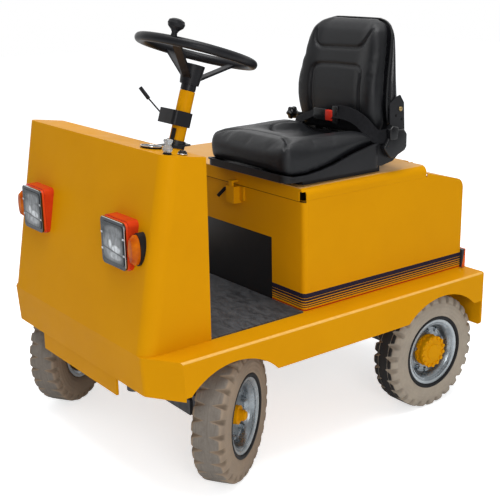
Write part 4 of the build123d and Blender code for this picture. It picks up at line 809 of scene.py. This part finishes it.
def add_backrest(material):
    rings = []
    for z, w, front, rear in levels(BACK_ROWS, 34):
        w, front, rear = w - 2, front + 2, rear - 1
        corner = min(30.0, (rear - front + 3) * 0.55)
        inner = w - corner
        ring = []
        for j in range(21):
            x = -inner + 2 * inner * j / 20
            dish = (1 - smooth(abs(x), DISH_FROM, DISH_TO)) * smooth(z, 985, 1010)
            ring.append((x, front + HOLLOW * dish))
        angles = [math.radians(90 * j / TURN_STEPS) for j in range(1, TURN_STEPS + 1)]
        turn = [(inner + corner * math.sin(a), front + corner * (1 - math.cos(a)))
                for a in angles]
        ring += turn + [(w, rear), (0, rear), (-w, rear)] + [(-x, y) for x, y in reversed(turn)]
        rings.append([at(SEAT_X + x, y, z) for x, y in ring])
    obj = padded_form("backrest_pad", *skin(rings), cap=0.003, rounds=6)

    def depth(x, y, z):
        sunk = 0.0
        for seam in (LUMBAR_SEAM, HEAD_SEAM):
            near, run = seam_distance(x, z, seam)
            ends = smooth(run, 0.0, 0.10) * (1 - smooth(run, 0.90, 1.0))
            sunk += BACK_DEPTH * ends * math.exp(-(near / SEAM_W) ** 2)
        return sunk

    sculpt(obj, depth, Vector((0, 1, 0)))
    upholster(obj, material, "seat_backrest")


def ribbon(points, up, width, thick):
    """Flat webbing along points, its width along up: points and faces of a closed strip."""
    rings = []
    for k, point in enumerate(points):
        ahead = points[min(k + 1, len(points) - 1)] - points[max(k - 1, 0)]
        out = ahead.cross(up).normalized()
        across = out.cross(ahead).normalized()
        half, t = across * width / 2, out * thick / 2
        rings.append([point + half - t, point + half * 0.9 + t, point - half * 0.9 + t,
                      point - half - t, point - half * 0.9 - t, point + half * 0.9 - t])
    return skin(rings)


def spline(points, count):
    """Points on a smooth line through the given ones."""
    full = [points[0]] + list(points) + [points[-1]]
    result = []
    for k in range(count):
        s = k / (count - 1) * (len(points) - 1)
        i = min(int(s), len(points) - 2)
        t = s - i
        p0, p1, p2, p3 = full[i:i + 4]
        result.append(0.5 * ((2 * p1) + (p2 - p0) * t + (2 * p0 - 5 * p1 + 4 * p2 - p3) * t ** 2
                             + (3 * p1 - p0 - 3 * p2 + p3) * t ** 3))
    return result


def slab(outline, x0, x1):
    """A plate between x0 and x1 with an outline of (y, z): points and faces."""
    return skin([[at(x, y, z) for y, z in outline] for x in (x0, x1)])


def block(x0, x1, y0, y1, z0, z1):
    return slab(((y0, z0), (y1, z0), (y1, z1), (y0, z1)), x0, x1)


# The belt. x, y and height along its middle, from the retractor, and along the buckle's stay
STRAP = ((426, 714, 1000), (423, 686, 998), (416, 658, 1002), (400, 643, 1022), (372, 637, 1044),
         (335, 633, 1060), (282, 632, 1067), (226, 635, 1062))
STAY = ((152, 636, 1058), (99, 640, 1036), (50, 646, 1020), (14, 656, 1010), (-6, 676, 1006),
        (-9, 700, 1006))
STRAP_W, STAY_W, STRAP_T = 0.046, 0.028, 0.0016
STRAP_STEPS = 26
# y and height round the retractor and its mouth, and where each lies across
RETRACTOR = ((676, 962), (706, 927), (722, 925), (774, 945), (783, 956), (783, 1000),
             (770, 1016), (722, 1020), (708, 1004))
MOUTH = ((700, 986), (732, 986), (738, 1026), (712, 1034), (698, 1020))
RETRACTOR_X, MOUTH_X = (415.6, 440), (417, 446)
# x, y and height from and to
BUCKLE = (140, 204, 629, 643, 1031, 1070)
TONGUE = (237, 262, 628, 644, 1025, 1084)
BUTTON = (203, 238, 626.5, 641, 1033, 1068)
RECLINE_AT = (685, 1026)      # y and height of the recline knob


def add_belt():
    black = plastic("belt_plastic", (0.006, 0.006, 0.007), 0.20, shine=0.35)
    cloth = webbing()
    up = Vector((0, 0.35, 1))
    for name, path, width in (("strap", STRAP, STRAP_W), ("strap_stay", STAY, STAY_W)):
        line = spline([at(*p) for p in path], STRAP_STEPS)
        add_piece(name, *ribbon(line, up, width, STRAP_T), cloth, "lid", "black_plastic")
    red = plastic("belt_button", (0.62, 0.030, 0.015), 0.3)
    for name, form, material, rounding, segments in (
            ("retractor", slab(RETRACTOR, *RETRACTOR_X), black, 0.006, 3),
            ("retractor_mouth", slab(MOUTH, *MOUTH_X), black, 0.005, 3),
            ("buckle", block(*BUCKLE), black, 0.003, 3),
            ("buckle_tongue", block(*TONGUE), black, 0.003, 3),
            ("belt_button", block(*BUTTON), red, 0.002, 2)):
        piece = add_piece(name, *form, material, "lid", "black_plastic")
        if name == "retractor":
            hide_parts("seat_belt")
        bevelled(piece, rounding, segments)
    for name, form, x in (("recline_knob", lobed_knob(24, 20, 6), -51),
                          ("recline_stem", lathe(((0, 7.8), (44, 7.8)), 20), -26)):
        add_piece(name, *form, black, "lid", "black_plastic",
                  matrix=along_x(at(x, *RECLINE_AT), (1, 0, 0)))


def lobed_knob(radius, length, lobes):
    """A hand knob with rounded lobes along X, in millimetres."""
    rings = []
    for along, share in ((0, 0.55), (0, 0.8), (2, 0.93), (6, 1.0), (length - 4, 1.0),
                         (length, 0.9), (length + 3, 0.5), (length + 5, 0.35)):
        ring = []
        for k in range(lobes * 10):
            a = 2 * math.pi * k / (lobes * 10)
            r = radius * share * (0.90 + 0.10 * math.cos(lobes * a) * min(1, share * 1.1))
            ring.append(Vector((along, r * math.cos(a), r * math.sin(a))) / 1000)
        rings.append(ring)
    return skin(rings)


# height, half width, front and rear of the hard shell behind the backrest
SHELL_ROWS = ((899, 168, 697, 708), (914, 180, 697, 752), (947, 184, 697, 784),
              (989, 189, 703, 799), (1033, 196, 726, 797), (1100, 202, 713, 790),
              (1175, 199, 719, 783), (1260, 189, 739, 782), (1310, 180, 752, 782),
              (1338, 166, 762, 782), (1351, 150, 767, 781), (1359, 133, 770, 780),
              (1364, 112, 772, 779), (1366, 84, 773, 779))
SHELL_TURN = 0.36             # how square the shell's rear corners are: 0 square, 1 round
SHELL_STEPS, PIPING_STEPS = 44, 140
PIPING = 0.006


def add_shell():
    """The smooth hard shell, and the piping where the cover meets it."""
    rings = []
    for z, w, front, rear in levels(SHELL_ROWS, 57):
        ring = []
        for j in range(SHELL_STEPS + 1):
            a = math.pi * j / SHELL_STEPS
            side = math.copysign(abs(math.cos(a)) ** SHELL_TURN, math.cos(a))
            back = math.sin(a) ** SHELL_TURN
            ring.append(at(SEAT_X + w * side, front + (rear - front) * back, z))
        rings.append(ring)
    form = relaxed(as_object("backrest_shell", *skin(rings)), 6)
    finish_piece(form, plastic("shell_plastic", (0.009, 0.009, 0.011), 0.24, shine=0.35), "lid")
    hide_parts("seat_back_shell")
    up, down = [[at(SEAT_X + side * w, front + 1, z) for z, w, front, _ in SHELL_ROWS[4:]]
                for side in (1, -1)]
    line = spline(up + down[::-1], PIPING_STEPS)
    add_piece("backrest_piping", *ribbon(line, Vector((0, 1, 0)), PIPING, PIPING),
              plastic("piping", BLACK, 0.30, shine=0.3), "lid", "black_plastic")


# y, height and radius of what shows on the seat's outer plate: the pivot's bolt, then two holes,
# each a near-black disc of painted shade
PIVOT_BOLT = (772, 1080, 8.5)
PLATE_HOLES = ((752, 1060, 5), (779, 1046, 5))
PLATE_X = 415


def add_hinge_details():
    brass = plain_metal("brass", (0.50, 0.36, 0.16), 0.25)
    dark = plastic("painted_hole_shade", (0.004, 0.004, 0.004), 0.6)

    def on_plate(name, profile, steps, material, slot, y, z):
        add_piece(name, *lathe(profile, steps), material, "lid", slot,
                  matrix=along_x(at(PLATE_X, y, z), (1, 0, 0)))

    y, z, r = PIVOT_BOLT
    on_plate("pivot_bolt", ((-2, r), (2, r), (3.6, r * 0.7), (4, r * 0.1)), 6, brass,
             "bare_steel", y, z)
    # each hole is a near-black disc of painted shade standing on the plate
    for k, (y, z, r) in enumerate(PLATE_HOLES):
        on_plate("plate_hole_%d" % k, ((-1, r), (0.3, r), (0.4, r * 0.1)), 24, dark,
                 "black_plastic", y, z)


# The slide's lever: x, y and height from and to
SLIDE_BLADE = (74, 156, 288, 300, 899, 903)
SLIDE_GRIP = (30, 82, 284, 304, 897.5, 906)


def add_seat():
    cover = vinyl()
    add_cushion(cover)
    add_backrest(cover)
    add_shell()
    add_hinge_details()
    add_belt()
    silver = plain_metal("blade_metal", (0.62, 0.63, 0.64), 0.28)
    grip_black = plastic("grip_plastic", (0.014, 0.014, 0.015), 0.35)
    blade = add_piece("slide_lever", *block(*SLIDE_BLADE), silver, "lid", "bare_steel")
    bevelled(blade, 0.0012, 2)
    grip = add_piece("slide_grip", *block(*SLIDE_GRIP), grip_black, "lid", "black_plastic")
    bevelled(grip, 0.003, 3)


# Dash and lamps

# The dash plate: y and height of its front edge, how far it runs back, and its fall over that
DASH_Y, DASH_Z, DASH_RUN, DASH_FALL = -150, 1040, 130, 18
DASH_LIFT = 0.4               # how far its items stand over it
GAUGE_AT, KEY_AT, PUSH_AT = (266, -93), (402, -75), (398, -122)
# name, place, steps round, whether it is a ring, material, slot, and height and radius along it
DASH_ITEMS = (
    ("gauge", GAUGE_AT, 64, False, "black", "black_plastic",
     ((0, 31), (5, 31), (6.5, 29), (6.6, 0.5))),
    ("gauge_rim", GAUGE_AT, 64, True, "chrome", "chrome",
     ((3.5, 30.4), (7.6, 31.8), (8.0, 30.6), (7.0, 28.4))),
    ("key_switch", KEY_AT, 40, False, "black", "black_plastic",
     ((0, 12.5), (9, 12.5), (9.1, 9), (12, 9), (12.1, 3), (13.5, 2))),
    ("key_ring", KEY_AT, 40, True, "chrome", "chrome",
     ((0, 13.2), (3, 14.6), (4.4, 13.4), (3, 12.6))),
    ("push_foot", PUSH_AT, 40, False, "black", "black_plastic",
     ((0, 12.5), (3, 12.5), (5.5, 9.6), (6, 2))),
    ("push_knob", PUSH_AT, 48, False, "clear", "lens_glass",
     ((5, 9), (9, 12.6), (14, 14.6), (19, 13.4), (24, 10), (28, 9.4), (32, 11.4), (36, 13.2),
      (40, 13.2), (42, 11), (42.5, 4))))


def add_dash():
    materials = {"black": plastic("dash_plastic", (0.012, 0.012, 0.013), 0.28),
                 "chrome": plain_metal("dash_chrome", (0.78, 0.79, 0.80), 0.12),
                 "clear": clear_plastic()}
    normal = Vector((0, DASH_FALL, DASH_RUN)).normalized()
    for name, (x, y), steps, ring, material, slot, profile in DASH_ITEMS:
        z = DASH_Z - DASH_FALL * (y - DASH_Y) / DASH_RUN + DASH_LIFT
        piece = add_piece(name, *lathe(profile, steps, ring), materials[material], "chassis", slot,
                          matrix=along_x(at(x, y, z), normal))
        if name == "gauge":
            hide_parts("dash_controls")


CLIP_Z = (23, -26)                     # height of each pair of clips from the lens's middle
CLIP = (5, 2.2, 3)                     # half width, depth and half height of one
LAMP_AT = (266, -235, 774)             # a lens's middle, at its face
LAMP_HALF = 66                         # half a frame's width


def add_lamp_clips():
    """Small bright clips that hold each lens in its frame."""
    metal = plain_metal("clip_metal", (0.62, 0.64, 0.66), 0.2)
    wide, deep, high = CLIP
    lamp_x, face_y, lamp_z = LAMP_AT
    boxes = []
    for side in (-1, 1):
        for edge in (-1, 1):
            x = side * lamp_x + edge * (LAMP_HALF - wide)
            for z in CLIP_Z:
                boxes.append(block(x - wide, x + wide, face_y, face_y + deep,
                                   lamp_z + z - high, lamp_z + z + high))
    points = [p for corners, _ in boxes for p in corners]
    faces = [tuple(i + 8 * k for i in face)
             for k, (_, sides) in enumerate(boxes) for face in sides]
    add_piece("lens_clips", points, faces, metal, "chassis", "chrome", flat=True)


# The imported solids that stay

# The lid's top face, where dust and a painted sky reflection lighten the paint.
def lid_top(tree):
    return where_above(place_parts(tree)[2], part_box("lid")[1].z - 0.002)


LEVER_X = 0.0655              # the latch's lever lies left of this, in front of its base
LATCH_BASE_T = 0.007


def lever_part(tree):
    """The latch's lever, below and left of its body."""
    x, y, _ = place_parts(tree)
    base = where_above(y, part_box("battery_box")[0].y - LATCH_BASE_T)
    return times(inverse(where_above(x, LEVER_X)), inverse(base))


def tail_base(tree):
    """The tail lamp's black foot, wider towards its top."""
    _, y, z = place_parts(tree)
    foot = spread(z, 0.477, 0.544, 0.001, 0.014)
    edge = plus(foot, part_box("battery_box")[1].y)
    return where_above(minus(edge, y), 0.0)


DECK_TOP = 0.473
FOLD_IN = 0.0075              # how far the rounded fold lies inside its sharp edge, at 45 degrees
# colour of the painted highlight on the deck's fold
FOLD_GLINT = (0.86, 0.52, 0.15)


def painted_fold_highlight(tree):
    """A painted highlight on the rounded fold along the deck's sides, broken up by noise."""
    x, _, z = place_parts(tree)
    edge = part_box("deck_body")[1].x + DECK_TOP - FOLD_IN
    reach = plus(maths("ABSOLUTE", x), z)
    highlight_patchiness = spread(noise(tree, 18.0, 4.0, 0.7), 0.25, 0.75, 0.45, 0.95)
    return times(highlight_patchiness, spread(reach, edge, edge + 0.002))


def set_material(material, *names):
    for name in names:
        mesh = frame["nodes"][name].data
        mesh.materials.clear()
        mesh.materials.append(material)


def dress_nodes():
    tail = lamp_plastic("tail_plastic", (0.84, 0.150, 0.004), (0.72, 0.085, 0.004), 0.02)
    set_material(yellow("yellow_paint"), "chassis_frame", "rear_plate", "cowl_shell",
                 "hinge_brackets", "column_tube", *["hub_" + c for c in CORNERS])
    set_material(two_tone(yellow("lid_paint"), LID_DUST_AND_SHEEN, lid_top), "lid")
    set_material(two_tone(yellow("deck_paint"), FOLD_GLINT, painted_fold_highlight), "deck_body")
    set_material(two_tone(yellow("latch_paint"), BLACK, lever_part), "latch")
    set_material(striped("box_paint"), "battery_box")
    set_material(painted("black_paint", BLACK, (0.017, 0.017, 0.019), shine=0.22),
                 "tow_hitch", "dash_bracket", "pedals", "kick_panel", "seat_base")
    set_material(plain_metal("cast_iron", (0.10, 0.10, 0.105), 0.55, 0.6), "front_axle_beam",
                 "tie_rod", "drag_link", "drop_arm", "steering_box", "rear_axle",
                 "knuckle_left", "knuckle_right")
    set_material(plain_metal("bare_steel", (0.55, 0.55, 0.54), 0.3), "tow_pin")
    set_material(plastic("black_plastic", (0.010, 0.010, 0.012), 0.34, shine=0.22),
                 "column_switch", "steering_wheel", "spinner_knob", "marker_bases", "battery")
    set_material(lamp_plastic("orange_plastic", LAMP_RED, (0.60, 0.038, 0.008), 0.1),
                 "headlight_housings")
    set_material(lamp_plastic("amber_plastic", (0.64, 0.150, 0.002), (0.34, 0.035, 0.002), 0.04),
                 "marker_lenses")
    set_material(two_tone(tail, (0.03, 0.033, 0.038), tail_base), "rear_lamps")
    set_material(lamp_frame(), "headlight_frames")
    set_material(headlight_glass(), "headlight_lenses")
    for corner in CORNERS:
        set_material(zinc(corner), "rim_" + corner)
    set_material(mat_rubber(), "floor_mat")


# Stage

BACKDROP_WAY = (-0.62, 0.50, 0.60)     # from the object to the backdrop's middle
ROOM_DIM = 0.22                        # how bright the room in front is beside the backdrop
SKY = 0.58
FLOOR_LIFT = (0.10, 0.62)              # glow of the floor in reflections, and for the camera
FLOOR_HALF = 14.0


def add_camera():
    data = bpy.data.cameras.new("camera")
    camera = bpy.data.objects.new("camera", data)
    bpy.context.scene.collection.objects.link(camera)
    bpy.context.scene.camera = camera
    back = Vector((math.sin(AZIMUTH) * math.cos(ELEVATION),
                   -math.cos(AZIMUTH) * math.cos(ELEVATION), math.sin(ELEVATION)))
    camera.location = at(*CAMERA_AT)
    camera.rotation_mode = "QUATERNION"
    look = (-back).to_track_quat("-Z", "Y")
    camera.rotation_quaternion = look @ Quaternion((0, 0, 1), ROLL)
    data.sensor_width = SENSOR
    data.lens = FOCAL_PX / PHOTO_SIZE * SENSOR
    data.shift_x = (PHOTO_SIZE / 2 - PRINCIPAL_PX[0]) / PHOTO_SIZE
    data.shift_y = (PRINCIPAL_PX[1] - PHOTO_SIZE / 2) / PHOTO_SIZE
    data.clip_start, data.clip_end = 0.05, 60


def add_area_light(name, place, target, size, power):
    data = bpy.data.lights.new(name, "AREA")
    data.shape = "DISK"
    data.size = size
    data.energy = power
    light = bpy.data.objects.new(name, data)
    light.location = place
    light.rotation_mode = "QUATERNION"
    light.rotation_quaternion = (Vector(target) - Vector(place)).to_track_quat("-Z", "Y")
    bpy.context.scene.collection.objects.link(light)


def camera_ray(tree):
    return put(tree, "ShaderNodeLightPath").outputs["Is Camera Ray"]


def seen_directly(tree):
    """1 for what the camera, metal or glass sees, which gives the white background."""
    path = put(tree, "ShaderNodeLightPath").outputs
    seen = larger(path["Is Camera Ray"], path["Is Glossy Ray"])
    return larger(seen, path["Is Transmission Ray"])


def add_world():
    """White behind and above; metal, glass and gloss find the room in front dimmer."""
    world = bpy.data.worlds.new("studio")
    world.use_nodes = True
    bpy.context.scene.world = world
    tree = world.node_tree
    way = put(tree, "ShaderNodeTexCoord").outputs["Generated"]
    up = put(tree, "ShaderNodeSeparateXYZ", {"Vector": way}).outputs["Z"]
    behind = put(tree, "ShaderNodeVectorMath", {0: way, 1: BACKDROP_WAY},
                 operation="DOT_PRODUCT").outputs["Value"]
    white = spread(behind, -0.25, 0.55, ROOM_DIM, 1.0)
    white = larger(white, camera_ray(tree))
    shown = put(tree, "ShaderNodeBackground", {"Color": (1, 1, 1, 1), "Strength": white})
    colour = mix(spread(up, 0.0, 0.8), (0.55, 0.54, 0.52), (0.90, 0.95, 1.0))
    sky = put(tree, "ShaderNodeBackground", {"Color": colour, "Strength": SKY})
    both = put(tree, "ShaderNodeMixShader", {"Fac": seen_directly(tree)})
    tree.links.new(sky.outputs[0], both.inputs[1])
    tree.links.new(shown.outputs[0], both.inputs[2])
    out = tree.nodes["World Output"]
    tree.links.new(both.outputs[0], out.inputs["Surface"])


def add_floor():
    corners = [(x * FLOOR_HALF, y * FLOOR_HALF, 0) for x, y in ((-1, -1), (1, -1), (1, 1), (-1, 1))]
    floor = as_object("floor", corners, [(0, 1, 2, 3)])
    material, tree = principled("floor", Roughness=0.9, Specular_IOR_Level=0.1,
                                Emission_Color=(1, 1, 1, 1))
    grain = spread(noise(tree, 2.0), 0, 1, 0.92, 0.96)
    colour = put(tree, "ShaderNodeCombineColor", {"Red": grain, "Green": grain, "Blue": grain})
    lift = times(seen_directly(tree), spread(camera_ray(tree), 0, 1, *FLOOR_LIFT))
    wire(material, Base_Color=colour.outputs[0], Emission_Strength=lift)
    floor.data.materials.append(material)


def add_stage():
    bpy.context.scene.view_settings.view_transform = "Standard"
    add_world()
    add_floor()
    middle = (0, 0, 0.7)
    add_area_light("key", (4.9, -2.5, 2.4), middle, size=2.6, power=96)
    add_area_light("top", (0.6, -0.4, 5.2), middle, size=3.4, power=150)


add_camera()
add_stage()
dress_nodes()
add_wheels()
add_dash()
add_lamp_clips()
add_seat()
